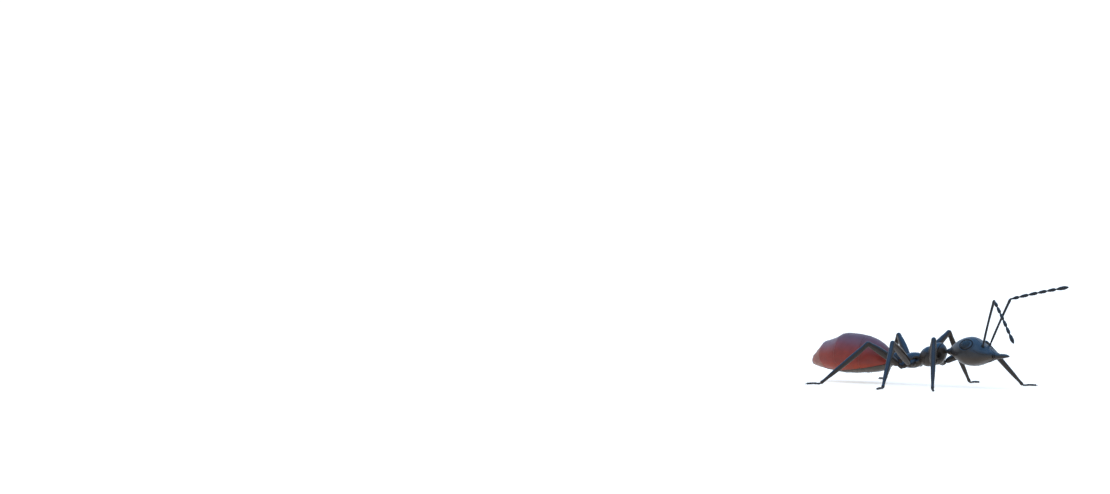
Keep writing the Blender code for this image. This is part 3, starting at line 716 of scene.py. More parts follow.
def trunk_plate(name):
    """A trunk plate's rings and how much painted shade darkens each point."""
    egg, start, end, side_seams, back_seams, hollows = TRUNK_PLATES[name]
    ys = start + (end - start) * (1 - np.cos(np.linspace(0, math.pi, TRUNK_RINGS))) / 2
    rings = egg_rings(egg, ys, full_turn(TRUNK_SIDES))
    out = rings_out(rings)
    x, y, z = rings[..., 0], rings[..., 1], rings[..., 2]
    lift = TRUNK_WAVE_HEIGHT * ripple(rings, TRUNK_WAVE_LENGTH, len(name))
    # How much each point is darkened as painted shade.
    painted_shade = np.zeros_like(lift)
    flank, over_back = step(np.abs(out[..., 0]), 0.25, 0.5), step(out[..., 2], -0.1, 0.25)
    for seam in side_seams:
        line = ridge(away_from(rings[..., 1:], seam), SIDE_SEAM_WIDTH) * flank
        lift -= SIDE_SEAM_DEPTH * line
        painted_shade = np.maximum(painted_shade, SIDE_SEAM_PAINTED_SHADE * line)
    for seam_y in back_seams:
        arched = y - seam_y - BACK_SEAM_ARCH * (x / egg["width"] * 2) ** 2
        line = ridge(arched, BACK_SEAM_WIDTH) * over_back
        fold = ridge(arched - BACK_FOLD_BEHIND, BACK_FOLD_WIDTH) * over_back
        lift += BACK_FOLD_HEIGHT * fold - BACK_SEAM_DEPTH * line
        painted_shade = np.maximum(painted_shade, BACK_SEAM_PAINTED_SHADE * line)
    for hollow_y, hollow_z, ring_size, pit_size, tallness in hollows:
        there = np.hypot(y - hollow_y, (z - hollow_z) / tallness)
        there = np.where(np.abs(x) > 0.3, there, np.inf)
        pit = ridge(there, pit_size)
        lift -= pit_size * pit
        if ring_size:
            lift += 0.3 * pit_size * ridge(there - ring_size, 0.07)
        painted_shade = np.maximum(painted_shade, np.clip(pit * 1.3, 0, 1))
    if name == "pronotum":
        lift += HIND_RIM_HEIGHT * step(y, end - HIND_RIM_AHEAD, end)
        painted_shade = np.maximum(painted_shade, HIND_LINE_PAINTED_SHADE * ridge(y - end + HIND_LINE_AHEAD, HIND_LINE_WIDTH))
    return rings + out * lift[..., None], painted_shade


trunk_finish = chitin("black_trunk_shell_painted_sky_sheen", TRUNK_PAINTED_LIGHT_TINTS, 0.34, SHELL_GRAIN, turn_at=0.56)
trunk_skins = []
for plate_name in TRUNK_PLATES:
    rings, painted_shade = trunk_plate(plate_name)
    trunk_skins.append(rings)
    if plate_name == "pronotum":
        # The turned-in hind lip is darkened all over as painted shade.
        rings = folded_in(rings, at_back=HIND_LIP)
        painted_shade = np.concatenate([painted_shade, np.ones((len(HIND_LIP), TRUNK_SIDES))])
    build(f"{plate_name}_shell", "body", [plate_name], [rings], trunk_finish, [painted_shade])


# Waist
# The petiole is one short, thick scale that stands up between two narrow necks. It is hard black
# shell, hinged to the propodeum in front and to the abdomen behind.

PETIOLE_OUTLINE = (  # y, half width, top z, bottom z
    (2.5, 0.28, 3.27, 2.73), (2.7, 0.36, 3.34, 2.54), (2.9, 0.5, 3.66, 2.38), (3.1, 0.6, 3.95, 2.3),
    (3.3, 0.62, 4.07, 2.29), (3.5, 0.6, 3.97, 2.32), (3.68, 0.5, 3.64, 2.41), (3.85, 0.36, 3.28, 2.54),
    (4.08, 0.27, 3.16, 2.64),
)
PETIOLE_NECKS, PETIOLE_NECK_PAINTED_SHADE = (2.62, 3.95), 0.8
PETIOLE_RINGS, PETIOLE_SIDES = 70, 96

petiole_ys = np.linspace(PETIOLE_OUTLINE[0][0], PETIOLE_OUTLINE[-1][0], PETIOLE_RINGS)[:, None]
half_widths, tops, bottoms = (through(PETIOLE_OUTLINE, petiole_ys, column) for column in (1, 2, 3))
petiole_turn = full_turn(PETIOLE_SIDES)
petiole_x = half_widths * np.cos(petiole_turn)
petiole_z = (tops + bottoms) / 2 + (tops - bottoms) / 2 * np.sin(petiole_turn)
petiole_rings = np.stack([petiole_x, petiole_ys + 0 * petiole_x, petiole_z], axis=-1)
petiole_necks = [ridge(petiole_rings[..., 1] - neck_y, 0.08) for neck_y in PETIOLE_NECKS]
# Painted shade in the two narrow necks.
petiole_painted_shade = PETIOLE_NECK_PAINTED_SHADE * np.maximum(*petiole_necks)
build("petiole_scale", "body", ["petiole"], [petiole_rings], trunk_finish, [petiole_painted_shade])


# Abdomen
# The gaster is five arched back plates of red-brown shell over five dark belly plates. Each plate
# runs out in a thin free edge that laps over the next one, and the back plates lap over the belly.

GASTER = {"front": (3.65, 2.81), "back": (15.65, 2.75), "width": 6.1, "top": 6.42, "bottom": 1.19,
          "tapers": (0.56, 0.56), "profile": (
              (3.66, 1.03, 1.3, 1.1), (5, 1.03, 1.2, 1.08), (7, 1, 1.03, 1.05),
              (9, 0.985, 1, 1.03), (10.7, 0.98, 0.98, 1), (11.6, 0.9, 0.945, 0.97),
              (12.6, 0.865, 0.925, 0.92), (13.5, 0.87, 0.92, 0.87), (14.2, 0.71, 0.94, 0.8),
              (14.8, 0.53, 0.99, 0.72), (15.2, 0.43, 1.05, 0.62))}
GASTER_SEAMS = (3.66, 7.24, 10.88, 13.55, 14.5, 15.02)
SEAM_DROPS = (0, 0.1, 0.8, 0.85, 0.5, 0)
PLATE_SINKS = (0, 0.02, 0.04, 0.06, 0.07)
SEAM_TROUGH = 0.12
PLATE_THICKNESS, PLATE_OVERLAP, PLATE_FLARE, PLATE_TUCK = 0.09, 0.5, 0.015, 0.16
EDGE_LINE_AHEAD, EDGE_LINE_WIDTH, EDGE_LINE_DEPTH = 0.25, 0.04, 0.008
SIDE_HEM_WIDTH, SIDE_HEM_HEIGHT = 0.02, 0.03
BELLY_TUCK, BELLY_SUNK, BELLY_UNDER_BACK, BELLY_FLARE = 0.15, 0.02, 0.13, 0.03
PLATE_WAVES, BELLY_WAVES, BELLY_SEED = (0.008, 1.4), (0.01, 1.2), 40
BELLY_EDGE = ((3.6, 14), (4.36, 18), (6.87, 33.6), (10.2, 49), (13, 55), (15.7, 58))
TAIL_STEPS = ((0.98, 0.03), (0.9, 0.08), (0.75, 0.12), (0.5, 0.15), (0.25, 0.16))
BACK_COLUMNS, PLATE_ROWS, BELLY_SIDES = 200, 56, 220
# Back, side and belly tints of the back plates: the slate-purple and pale grey-pink tops are painted sky
# reflection and the brighter red facing down is painted floor bounce; the maroon is the plates' own
# colour.
BACK_PAINTED_LIGHT_TINTS = ((0.100, 0.045, 0.075), (0.175, 0.019, 0.012), (0.230, 0.022, 0.003))
REAR_PAINTED_LIGHT_TINTS = ((0.135, 0.090, 0.125), *BACK_PAINTED_LIGHT_TINTS[1:])
TAIL_PAINTED_LIGHT_TINTS = ((0.190, 0.145, 0.180), (0.200, 0.060, 0.045), (0.190, 0.060, 0.030))
BELLY_GREY = (0.050, 0.038, 0.028)
# The dark red-brown that creases and hidden parts of the back plates get as painted shade.
PLATE_PAINTED_SHADE = (0.050, 0.016, 0.014)


def seam_line(number, turn):
    """Where a gaster seam lies at each turn round the body: it runs forward down the flank."""
    return GASTER_SEAMS[number] - SEAM_DROPS[number] * step(-np.sin(turn), -0.45, 0.5)


def sink_of(number, turn):
    """How far a segment lies inside the one before it: all of it on the back, little at the belly."""
    return PLATE_SINKS[number] * (0.2 + 0.8 * step(np.sin(turn), -0.7, 0.5))


def gaster_surface(ys, turn):
    """The abdomen's surface and its outward directions at each y and turn."""
    def slope(y_step, turn_step):
        return (egg_rings(GASTER, ys + y_step, turn + turn_step)
                - egg_rings(GASTER, ys - y_step, turn - turn_step))
    return egg_rings(GASTER, ys, turn), to_unit(np.cross(slope(0.002, 0), slope(0, 0.002)))


def plate_rows(number, turn, past_seam):
    """A segment's rows, how far each point lies under the plate before, and how far from its edge."""
    lap = PLATE_OVERLAP if number else 0
    front_y, back_y = seam_line(number, turn) - lap, seam_line(number + 1, turn) + past_seam
    share = evenly(PLATE_ROWS)[:, None]
    ys = front_y + (back_y - front_y) * (1 - (1 - share) ** 1.4)
    shown = step(ys, front_y + lap - 0.15, front_y + lap + SEAM_TROUGH) if number else 1
    return ys, 1 - shown + 0 * ys, back_y - ys


def back_plate(number):
    """A back plate as loops: out over the body from one lower edge to the other, and back inside."""
    across = evenly(BACK_COLUMNS)

    def turn_at(ys):
        edge = np.radians(through(BELLY_EDGE, ys))
        return -edge + (math.pi + 2 * edge) * across
    ys, hidden, to_edge = plate_rows(number, turn_at(sum(GASTER_SEAMS[number : number + 2]) / 2), 0.05)
    turn = turn_at(ys)
    points, out = gaster_surface(ys, turn)
    from_side = np.minimum(across, 1 - across)
    lift = PLATE_FLARE * step(-to_edge, -0.7, 0) - sink_of(number, turn) - PLATE_TUCK * hidden
    wave_height, wave_length = PLATE_WAVES
    lift += wave_height * ripple(points, wave_length, number)
    lift -= EDGE_LINE_DEPTH * ridge(to_edge - EDGE_LINE_AHEAD, EDGE_LINE_WIDTH)
    lift += SIDE_HEM_HEIGHT * ridge(from_side, SIDE_HEM_WIDTH)
    # Painted shade along the groove before the free edge, over the part under the plate before, at the
    # lower rims, and over the whole inner side.
    painted_shade = 0.15 * ridge(to_edge - EDGE_LINE_AHEAD, 0.03) + 0.8 * hidden + 0.3 * ridge(from_side, 0.008)
    rounding = np.sqrt(np.clip(np.minimum(to_edge, from_side * 9) / 0.05, 0, 1))
    half = PLATE_THICKNESS / 2
    outer = points + out * (lift - half + half * rounding)[..., None]
    inner = points + out * (lift - half - half * rounding)[..., None]
    painted_shades = np.concatenate([painted_shade, np.ones_like(painted_shade)], axis=1)
    return np.concatenate([outer, inner[:, ::-1]], axis=1), outer, out, np.clip(painted_shades, 0, 1)


def belly_segment(number):
    """A belly segment as full rings, sunk in where the back plate covers it."""
    turn = full_turn(BELLY_SIDES)
    ys, hidden, to_edge = plate_rows(number, turn, 0 if number == len(PLATE_SINKS) - 1 else 0.03)
    points, out = gaster_surface(ys, turn)
    bare = step(-np.sin(turn) - np.sin(np.radians(through(BELLY_EDGE, ys))), -0.02, 0.12)
    wave_height, wave_length = BELLY_WAVES
    lift = BELLY_FLARE * step(-to_edge, -0.5, 0) * bare
    lift += wave_height * ripple(points, wave_length, BELLY_SEED + number)
    lift -= sink_of(number, turn) + BELLY_TUCK * hidden + BELLY_UNDER_BACK * (1 - bare) + BELLY_SUNK
    # Painted shade along the groove before the edge, over the part under the segment before, and where
    # the back plates cover the belly.
    painted_shade = 0.5 * ridge(to_edge - 0.22, 0.03) * bare + 0.8 * hidden + 0.6 * (1 - bare)
    return points + out * lift[..., None], out, np.clip(painted_shade, 0, 1)


PLATE_GRAIN = (("lines", 5, 0.07, 0.005), ("cells", 10, 0.10, 0.004), ("noise", 1.2, 0.2, 0.03))
back_finish = chitin("maroon_back_plate", BACK_PAINTED_LIGHT_TINTS, 0.36, PLATE_GRAIN, PLATE_PAINTED_SHADE, 0.6)
tail_finish = chitin("pale_maroon_tail_plate", TAIL_PAINTED_LIGHT_TINTS, 0.38, PLATE_GRAIN, PLATE_PAINTED_SHADE, 0.6)
belly_finish = chitin("grey_brown_belly_plate", (BELLY_GREY,) * 3, 0.4, PLATE_GRAIN)
rear_finish = chitin("rear_maroon_back_plate", REAR_PAINTED_LIGHT_TINTS, 0.37, PLATE_GRAIN, PLATE_PAINTED_SHADE, 0.6)
back_finishes = (back_finish, back_finish, rear_finish, tail_finish, tail_finish)
belly_finishes = (belly_finish,) * 4 + (tail_finish,)
back_skins, belly_skins = [], []
for number in range(len(PLATE_SINKS)):
    place, nodes, back = number + 1, [f"gaster_{number + 1}"], back_finishes[number]
    loops, outer, out, painted_shade = back_plate(number)
    back_skins.append((outer, out))
    build(f"gaster_back_plate_{place}", "abdomen", nodes, [loops], back, [painted_shade], capped=False)
    rings, out, painted_shade = belly_segment(number)
    belly_skins.append((rings, out))
    if number == len(PLATE_SINKS) - 1:
        # The turned-in tail end is lightly darkened as painted shade.
        rings = folded_in(rings, at_back=TAIL_STEPS)
        painted_shade = np.concatenate([painted_shade, np.full((len(TAIL_STEPS), BELLY_SIDES), 0.2)])
    build(f"gaster_belly_plate_{place}", "abdomen", nodes, [rings], belly_finishes[number], [painted_shade])

SPOUT_PATH = ((0, 14.9, 2.64), (0, 15.15, 2.62), (0, 15.32, 2.6))
SPOUT_GIRTH = ((0, 0.22), (0.6, 0.18), (0.9, 0.15), (1, 0.13))
SPOUT_MOUTH = ((0.9, 0.02), (0.75, 0.02), (0.6, -0.05), (0.4, -0.15))
spout_rod = folded_in(shaped_rod(smooth_path(SPOUT_PATH, 30), SPOUT_GIRTH, 40), at_back=SPOUT_MOUTH)
build("acid_spout", "abdomen", [], [spout_rod], tail_finish)


# Legs
# Six legs of hard black shell, painted blue on top as a sky reflection. Each has a stout coxa, a short
# trochanter, a long flattened femur, a tibia with spurs at its end, and a foot of five small joints
# that bears on the floor.

LEG_SOCKETS = {"front": (0.55, -2.7, 3.48), "middle": (0.5, 0.4, 3.12), "hind": (0.45, 1.5, 3)}
LEG_JOINTS = {"front": (1.4, -2.5, 2.82), "middle": (1.35, 0.55, 2.52), "hind": (1.25, 1.75, 2.3)}
FEMUR_TIBIA_FOOT = {"front": (6.32, 7.23, 2.15), "middle": (6.45, 7.24, 2.1), "hind": (5.49, 7.98, 2.07)}
LEG_TURNS = {  # femur forward, femur lift, tibia forward, foot forward
    "front_left": (51.3, 25.1, 51.5, 39.2), "front_right": (27.8, 32.1, 25.3, 28.6),
    "middle_left": (21, 39.6, 30.7, 14.3), "middle_right": (2.7, 28.4, 12.7, 5.6),
    "hind_left": (-50.9, 44.2, -44.3, -52), "hind_right": (-43.4, 32.5, -48.4, -46.2),
}
ANKLE_HEIGHT, TROCHANTER_LENGTH, FEMUR_BOW = 0.22, 0.55, 0.1
COXA_SAG, TIBIA_SAG, ANKLE_SAG = 0.02, 0.03, 0.04
COXA_LAP, FEMUR_LAP, TIBIA_LAP = 0.05, 0.06, 0.05
TROCHANTER_ROOT, TROCHANTER_MIDDLE = 0.12, 0.25
COXA_GIRTH = ((0, 0.42), (0.3, 0.46), (0.55, 0.45), (0.8, 0.37), (0.93, 0.3), (1, 0.24))
TROCHANTER_GIRTH = ((0, 0.2), (0.12, 0.27), (0.45, 0.31), (0.8, 0.28), (1, 0.23))
FEMUR_GIRTH = ((0, 0.2), (0.03, 0.29), (0.15, 0.42), (0.4, 0.49), (0.6, 0.47), (0.8, 0.4),
               (0.92, 0.34), (0.965, 0.34), (1, 0.3))
TIBIA_GIRTH = ((0, 0.27), (0.03, 0.33), (0.06, 0.335), (0.1, 0.32), (0.25, 0.35), (0.5, 0.33),
               (0.75, 0.27), (0.92, 0.2), (0.975, 0.21), (1, 0.14))
FEMUR_FLATNESS, TIBIA_FLATNESS = 0.96, 0.98
KNEE_BEND = ((-0.2, 0), (0.03, 0), (0.05, 0.25), (0.03, 0.7))
FOOT_JOINTS, FOOT_STEPS = (0, 0.47, 0.62, 0.73, 0.81, 1), 200
FOOT_HEIGHTS = ((0.12, 0.15), (0.5, 0.19), (0.8, 0.165), (1, 0.145))
FOOT_JOINT_GIRTH = ((0, 0.08), (0.08, 0.105), (0.6, 0.115), (0.88, 0.14), (0.96, 0.13), (1, 0.08))
CLAW_LENGTH, CLAW_GIRTH, PAD_DEEP, PAD_WIDE = 0.34, 0.05, 0.05, 0.08
CLAW_REACH, CLAW_SPREAD = 0.8, 0.05
SPUR_LENGTH, SPUR_GIRTH, SPUR_SPREAD, SPUR_ABOVE_ANKLE = 0.42, 0.035, 0.09, 0.12
# Painted light: blue on the back as a sky reflection, warm brown on the belly as a floor bounce.
LEG_PAINTED_LIGHT_TINTS = ((0.002, 0.026, 0.064), (0.017, 0.011, 0.007), (0.024, 0.014, 0.008))
CLAW_TINTS = ((0.020, 0.014, 0.010), (0.020, 0.012, 0.008), (0.022, 0.012, 0.008))


def spur(start, way, length, girth, curl, sides=10):
    """A curved spine that tapers to a point."""
    share = evenly(14)[:, None]
    path = start + way * length * share + curl * length * share**2
    taper = girth * (1 - share[:, 0]) ** 0.6 + 0.003
    return rod_rings(path, sides, taper, taper, (0.3, 0.2, 0.9))


def leg_shapes(name):
    """All the rods of one leg, as {part: stacks of rings}."""
    pair, side_name = name.split("_")
    side = LEFT_AND_RIGHT[side_name]
    socket, joint = mirrored(LEG_SOCKETS[pair], side), mirrored(LEG_JOINTS[pair], side)
    femur_length, tibia_length, foot_length = FEMUR_TIBIA_FOOT[pair]
    femur_turn, femur_lift, tibia_turn, foot_turn = LEG_TURNS[name]
    femur_way, foot_way = pointing(side, femur_turn, femur_lift), pointing(side, foot_turn, 0)
    upward = np.array((0, 0, 1))
    femur_start, knee = joint + femur_way * TROCHANTER_LENGTH, joint + femur_way * femur_length
    drop = math.degrees(math.asin((knee[2] - ANKLE_HEIGHT) / tibia_length))
    tibia_way = pointing(side, tibia_turn, -drop)
    ankle = knee + tibia_way * tibia_length - upward * ANKLE_SAG

    coxa = (socket, (socket + joint) / 2 - upward * COXA_SAG, joint + femur_way * COXA_LAP)
    trochanter = (joint - femur_way * TROCHANTER_ROOT, joint + femur_way * TROCHANTER_MIDDLE,
                  femur_start + femur_way * FEMUR_LAP)
    femur = bowed(femur_start, knee + femur_way * FEMUR_LAP, upward * FEMUR_BOW, 160)
    tibia = [knee + femur_way * before + tibia_way * after for before, after in KNEE_BEND]
    tibia += [knee + tibia_way * tibia_length * 0.5 - upward * TIBIA_SAG, ankle + tibia_way * TIBIA_LAP]
    shapes = {"coxa": [shaped_rod(smooth_path(coxa, 60), COXA_GIRTH, 48, 0.05)],
              "trochanter": [shaped_rod(smooth_path(trochanter, 40), TROCHANTER_GIRTH, 40, 0.08)],
              "femur": [shaped_rod(femur, FEMUR_GIRTH, 48, 0.03, FEMUR_FLATNESS)],
              "tibia": [shaped_rod(smooth_path(tibia, 180), TIBIA_GIRTH, 48, 0.02, TIBIA_FLATNESS)],
              "foot": [], "claws": []}
    for sideways in (SPUR_SPREAD, -SPUR_SPREAD):
        outward = to_unit(np.cross(tibia_way, foot_way)) * sideways
        root = ankle - tibia_way * SPUR_ABOVE_ANKLE + outward + foot_way * 0.05
        way, curl = tibia_way * 0.55 + foot_way * 0.5 + outward * 2, foot_way * 0.15 - upward * 0.03
        shapes["tibia"].append(spur(root, way, SPUR_LENGTH, SPUR_GIRTH, curl))

    reach = foot_way * (foot_length - CLAW_LENGTH * CLAW_REACH)
    stops = [ankle * (1, 1, 0) + reach * share + upward * height for share, height in FOOT_HEIGHTS]
    foot_path = smooth_path([ankle - upward * 0.01, *stops], FOOT_STEPS + 1)
    for start, end in zip(FOOT_JOINTS[:-1], FOOT_JOINTS[1:]):
        stretch = foot_path[round(start * FOOT_STEPS) : round(end * FOOT_STEPS) + 1]
        shapes["foot"].append(shaped_rod(smooth_path(stretch, 32), FOOT_JOINT_GIRTH, 28))
    toe = foot_path[-1]
    for sideways in (1, -1):
        across = np.cross(foot_way, upward) * sideways
        root = toe - foot_way * 0.06 + across * CLAW_SPREAD
        way = foot_way * 0.85 + across * 0.45 + upward * 0.05
        curl = foot_way * 0.15 - across * 0.12 - upward * 0.32
        shapes["claws"].append(spur(root, way, CLAW_LENGTH, CLAW_GIRTH, curl, 14))
    pad = (toe - foot_way * 0.05, toe + foot_way * 0.06, toe + foot_way * 0.14 - upward * 0.03)
    pad_path, pad_girth = smooth_path(pad, 20), round_ends(20, 0.4)
    shapes["claws"].append(rod_rings(pad_path, 20, PAD_DEEP * pad_girth, PAD_WIDE * pad_girth))
    return shapes


leg_finish = chitin("black_leg_shell_painted_sky_sheen", LEG_PAINTED_LIGHT_TINTS, 0.33, (
    ("cells", 13, 0.12, 0.003), ("noise", 5, 0.3, 0.010), ("noise", 1.5, 0.2, 0.02)), turn_at=0.58)
claw_finish = chitin("brown_black_claw", CLAW_TINTS, 0.28, (("noise", 9, 0.2, 0.004),))
leg_skins = {leg_name: leg_shapes(leg_name) for leg_name in LEG_TURNS}
for leg_name, shapes in leg_skins.items():
    for part in ("coxa", "trochanter", "femur", "tibia"):
        build(f"{part}_shell_{leg_name}", "leg", [f"{part}_{leg_name}"], shapes[part], leg_finish)
    build(f"foot_joints_{leg_name}", "leg", [f"tarsus_{leg_name}"], shapes["foot"], leg_finish)
    build(f"claws_{leg_name}", "leg", [], shapes["claws"], claw_finish)


# Bristles and down
# Ants have few hairs. Stiff pale-brown bristles stand along the hind edges of the abdomen's back
# plates and sparsely on the belly, head, trunk and legs. A thin short down lies flat over the head,
# the feelers and the abdomen.

BRISTLE_TINT, DOWN_TINT = (0.11, 0.055, 0.036, 1), (0.06, 0.042, 0.034, 1)
HAIR_STATIONS = ((-0.04, 1), (0.35, 0.85), (0.7, 0.55))
HAIR_POINTS = 3 * len(HAIR_STATIONS) + 1
HAIR_STRAY, HAIR_CURL, HAIR_LENGTHS, HAIR_GIRTHS = 0.18, 0.22, (0.6, 1.25), (0.8, 1.2)
ROOT_PATCH, FLOOR_GAP = 0.0015, 0.01


def hair_finish(name, tint, roughness):
    finish, tree, shader, place = new_finish(name)
    plug(tree, shader, {
        "Base Color": clouded(tree, place, tint, 1.5, 3, 0.6, 1.4),
        "Roughness": spread_noise(tree, place, 3, 2, roughness - 0.05, roughness + 0.05)})
    return finish


def scattered(skins, out_ways, count, dice, wanted):
    """Random roots spread evenly over skins, with outward and backward ways and unwrapped places."""
    spots, areas, cells = [], [], []
    columns = math.ceil(math.sqrt(len(skins)))
    for index, (rings, outward) in enumerate(zip(skins, out_ways)):
        along, around = rings[1:, :-1] - rings[:-1, :-1], rings[:-1, 1:] - rings[:-1, :-1]
        area = np.linalg.norm(np.cross(along, around), axis=-1)
        if wanted is not None:
            area = area * wanted(rings[:-1, :-1], outward[:-1, :-1])
        areas.append(area.ravel())
        cells += [(index, row, column) for row, column in np.ndindex(area.shape)]
    weights = np.concatenate(areas)
    for pick in dice.choice(len(weights), size=count, p=weights / weights.sum()):
        index, row, column = cells[pick]
        rings = skins[index]
        down, over = dice.uniform(size=2)
        spot, below, beside = rings[row, column], rings[row + 1, column], rings[row, column + 1]
        root = spot + (below - spot) * down + (beside - spot) * over
        corner = np.array(divmod(index, columns)) / columns
        place = corner + np.array((column / rings.shape[1], row / rings.shape[0])) * 0.9 / columns + 0.01
        spots.append((root, out_ways[index][row, column], to_unit(below - spot), (*place, 0)))
    return np.moveaxis(np.array(spots), 1, 0)


def hair_group(name, slot, finish, skins, outs, count, seed, length, girth, lie, wanted=None):
    """Tapering three-sided hairs on skins. lie is how far they lean back, from 0 upright to 1 flat.
    Each is unwrapped as a tiny patch at its root's place."""
    dice = np.random.default_rng(seed)
    outs = outs or [to_unit(rings - rings.mean(axis=1, keepdims=True)) for rings in skins]
    roots, outward, backward, places = scattered(skins, outs, count, dice, wanted)
    stray = dice.normal(scale=HAIR_STRAY, size=(count, 3))
    ways = to_unit(outward * (1 - lie) + backward * lie + stray * (1 - 0.6 * lie))
    curls = (backward - outward * lie) * HAIR_CURL
    lengths = length * dice.uniform(*HAIR_LENGTHS, size=(count, 1))
    girths = girth * dice.uniform(*HAIR_GIRTHS, size=(count, 1))
    side_way = to_unit(np.cross(ways, np.array((0.13, 0.37, 0.92))))
    other_way = to_unit(np.cross(ways, side_way))
    layers = []
    for share, thickness in HAIR_STATIONS:
        middle = roots + ways * lengths * share + curls * lengths * max(share, 0) ** 2
        for angle in full_turn(3):
            spoke = side_way * math.cos(angle) + other_way * math.sin(angle)
            layers.append(middle + spoke * girths * thickness)
    layers.append(roots + (ways + curls) * lengths)
    points = np.stack(layers, axis=1).reshape(-1, 3)
    points[:, 2] = np.maximum(points[:, 2], FLOOR_GAP)
    sides = ((0, 1), (1, 2), (2, 0))
    pattern = [(0, 2, 1)]
    pattern += [(low + a, low + b, low + 3 + b, low + 3 + a) for low in (0, 3) for a, b in sides]
    pattern += [(6 + a, 6 + b, 9) for a, b in sides]
    firsts = range(0, count * HAIR_POINTS, HAIR_POINTS)
    faces = [tuple(first + corner for corner in face) for first in firsts for face in pattern]
    hairs = add_mesh(name, points, faces, finish)
    turn = full_turn(HAIR_POINTS)
    spread = places[:, None, :2] + np.stack([np.cos(turn), np.sin(turn)], axis=-1) * ROOT_PATCH
    corners = np.empty(len(hairs.data.loops), np.int32)
    hairs.data.loops.foreach_get("vertex_index", corners)
    layer = hairs.data.uv_layers.new(name="OFBake")
    layer.data.foreach_set("uv", spread.reshape(-1, 2)[corners].astype(np.float32).ravel())
    fit_piece(hairs, slot)


def near_free_edge(number):
    """A share of 1 in a band just ahead of a back plate's hind edge."""
    def share(points, outward):
        turn = np.arctan2(points[..., 2] - 3.05, points[..., 0])
        to_edge = seam_line(number + 1, turn) - points[..., 1]
        return ((to_edge > 0.1) & (to_edge < 0.32)).astype(float) + 0.02
    return share


# After its skins and their outward ways, each group has its number of hairs, its seed, and the hairs'
# length, radius and lean.
bristle = hair_finish("pale_brown_bristle", BRISTLE_TINT, 0.45)
down = hair_finish("fine_grey_down", DOWN_TINT, 0.5)
for number, (outer, out) in enumerate(back_skins):
    hair_group(f"bristles_back_plate_{number + 1}", "abdomen", bristle, [outer], [out],
               40, 100 + number, 0.2, 0.007, 0.8, near_free_edge(number))
hair_group("down_abdomen", "abdomen", down, *zip(*back_skins), 2600, 7, 0.13, 0.004, 0.93)
hair_group("bristles_belly", "abdomen", bristle, *zip(*belly_skins), 160, 8, 0.25, 0.008, 0.6,
           lambda points, outward: (outward[..., 2] < -0.75).astype(float))
hair_group("bristles_acid_spout", "abdomen", bristle, [spout_rod[18:26]], None, 30, 9, 0.08, 0.006, 0.8)
hair_group("bristles_head", "body", bristle, [head_rings], [head_out], 90, 10, 0.2, 0.008, 0.35,
           lambda points, outward: (points[..., 1] < -9.9) + 0.12 * (outward[..., 2] < -0.5))
hair_group("down_head", "body", down, [head_rings], [head_out], 1600, 12, 0.1, 0.0038, 0.93)
hair_group("bristles_trunk", "body", bristle, trunk_skins, None, 80, 13, 0.22, 0.008, 0.4,
           lambda points, outward: (outward[..., 2] > 0.5).astype(float))
for side_name, skins in feeler_skins.items():
    hair_group(f"down_feeler_{side_name}", "feeler", down, skins, None, 700, 14, 0.06, 0.004, 0.8)
for leg_name, shapes in leg_skins.items():
    limbs = shapes["femur"] + shapes["tibia"][:1] + shapes["foot"]
    hair_group(f"bristles_leg_{leg_name}", "leg", bristle, limbs, None, 320, 15, 0.12, 0.0065, 0.8)


# Floor, light and camera
# A plain white table top under a soft pale-blue sky light, one broad lamp over the ant's head, and a
# warm even light. The camera stands low beside the ant, a little ahead of it, and looks along the floor.

FLOOR_SIZE = 6
FLOOR_WHITE, FLOOR_GLOW_TINT, FLOOR_GLOW = (0.82, 0.80, 0.78, 1), (1, 0.98, 0.95, 1), 0.5
SKY_LOW, SKY_HIGH, SKY_STRENGTH = (1, 1, 1, 1), (0.42, 0.68, 1, 1), 1.05
LAMPS = (("lamp_above", "AREA", 0.5, (0.80, 0.90, 1)), ("even_light", "SUN", 0.7, (1, 0.86, 0.70)))
LAMP_PLACE, LAMP_SIZE = Vector((-0.15, -0.1, 0.6)), 0.45
SUN_SPREAD, SUN_TURN = math.radians(60), (math.radians(-38), math.radians(-20), 0)
CAMERA_PLACE = (-0.41156, -0.20105, 0.02565)
CAMERA_TURN, CAMERA_DIP, CAMERA_ROLL = math.radians(31.99), math.radians(1.086), math.radians(0.875)
CAMERA_LENS, CAMERA_SENSOR = 116.15, 36

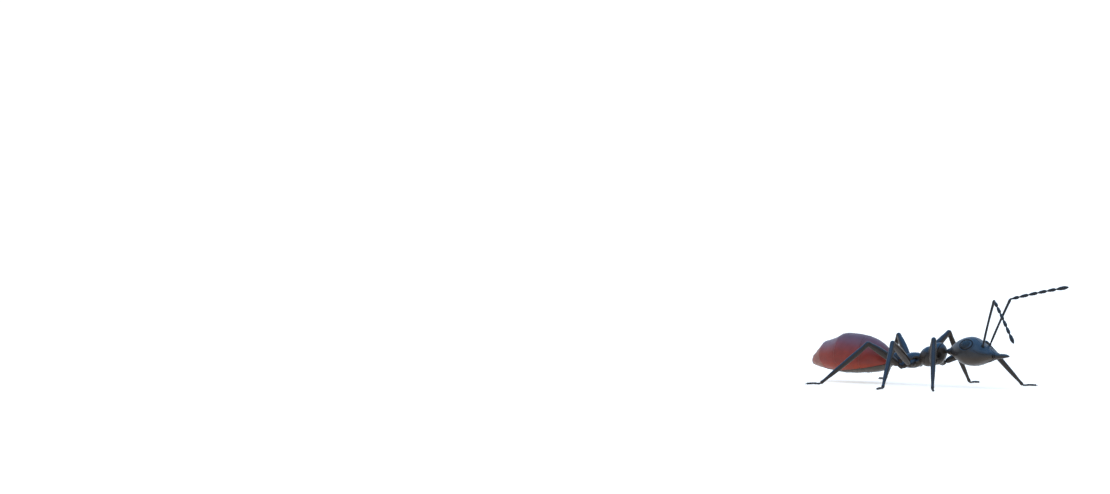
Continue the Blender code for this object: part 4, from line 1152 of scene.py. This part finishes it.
stage = bpy.context.scene.collection.objects
floor_mesh = bpy.data.meshes.new("floor")
half = FLOOR_SIZE / 2
floor_corners = [(-half, -half, 0), (half, -half, 0), (half, half, 0), (-half, half, 0)]
floor_mesh.from_pydata(floor_corners, [], [(0, 1, 2, 3)])
floor_finish, floor_tree, floor_shader, floor_place = new_finish("white_table_top")
plug(floor_tree, floor_shader, {
    "Base Color": clouded(floor_tree, floor_place, FLOOR_WHITE, 0.02, 2, 0.985, 1), "Roughness": 0.9,
    "Emission Color": FLOOR_GLOW_TINT, "Emission Strength": FLOOR_GLOW, "Specular IOR Level": 0.1})
floor_mesh.materials.append(floor_finish)
floor = bpy.data.objects.new("floor", floor_mesh)
stage.link(floor)

world = bpy.data.worlds.new("sky_light")
bpy.context.scene.world = world
world.use_nodes = True
sky_tree = world.node_tree
sky_place = sky_tree.nodes.new("ShaderNodeTexCoord").outputs["Generated"]
sky_rise = add_node(sky_tree, "ShaderNodeSeparateXYZ", {0: sky_place}).outputs["Z"]
sky_ramp = add_node(sky_tree, "ShaderNodeValToRGB", {"Fac": sky_rise})
sky_stops = sky_ramp.color_ramp.elements
sky_stops[0].position, sky_stops[0].color = 0.16, SKY_LOW
sky_stops[1].position, sky_stops[1].color = 0.7, SKY_HIGH
sky = {"Color": sky_ramp.outputs["Color"], "Strength": SKY_STRENGTH}
plug(sky_tree, sky_tree.nodes["Background"], sky)

for name, kind, energy, tint in LAMPS:
    lamp_data = bpy.data.lights.new(name, kind)
    lamp_data.energy, lamp_data.color = energy, tint
    lamp = bpy.data.objects.new(name, lamp_data)
    stage.link(lamp)
    if kind == "AREA":
        lamp_data.size = LAMP_SIZE
        lamp.location = LAMP_PLACE
        lamp.rotation_euler = (-LAMP_PLACE).to_track_quat("-Z", "Y").to_euler()
    else:
        lamp_data.angle = SUN_SPREAD
        lamp.rotation_euler = SUN_TURN
        lamp.visible_glossy = False

camera_data = bpy.data.cameras.new("camera")
camera_data.lens, camera_data.sensor_width = CAMERA_LENS, CAMERA_SENSOR
camera_data.clip_start, camera_data.clip_end = 0.01, 20
camera = bpy.data.objects.new("camera", camera_data)
camera.location = CAMERA_PLACE
gaze = Vector((math.cos(CAMERA_TURN), math.sin(CAMERA_TURN), -math.tan(CAMERA_DIP)))
roll = Quaternion((0, 0, 1), CAMERA_ROLL)
camera.rotation_euler = (gaze.to_track_quat("-Z", "Y") @ roll).to_euler()
stage.link(camera)
bpy.context.scene.camera = camera
bpy.context.scene.view_settings.view_transform = "Standard"
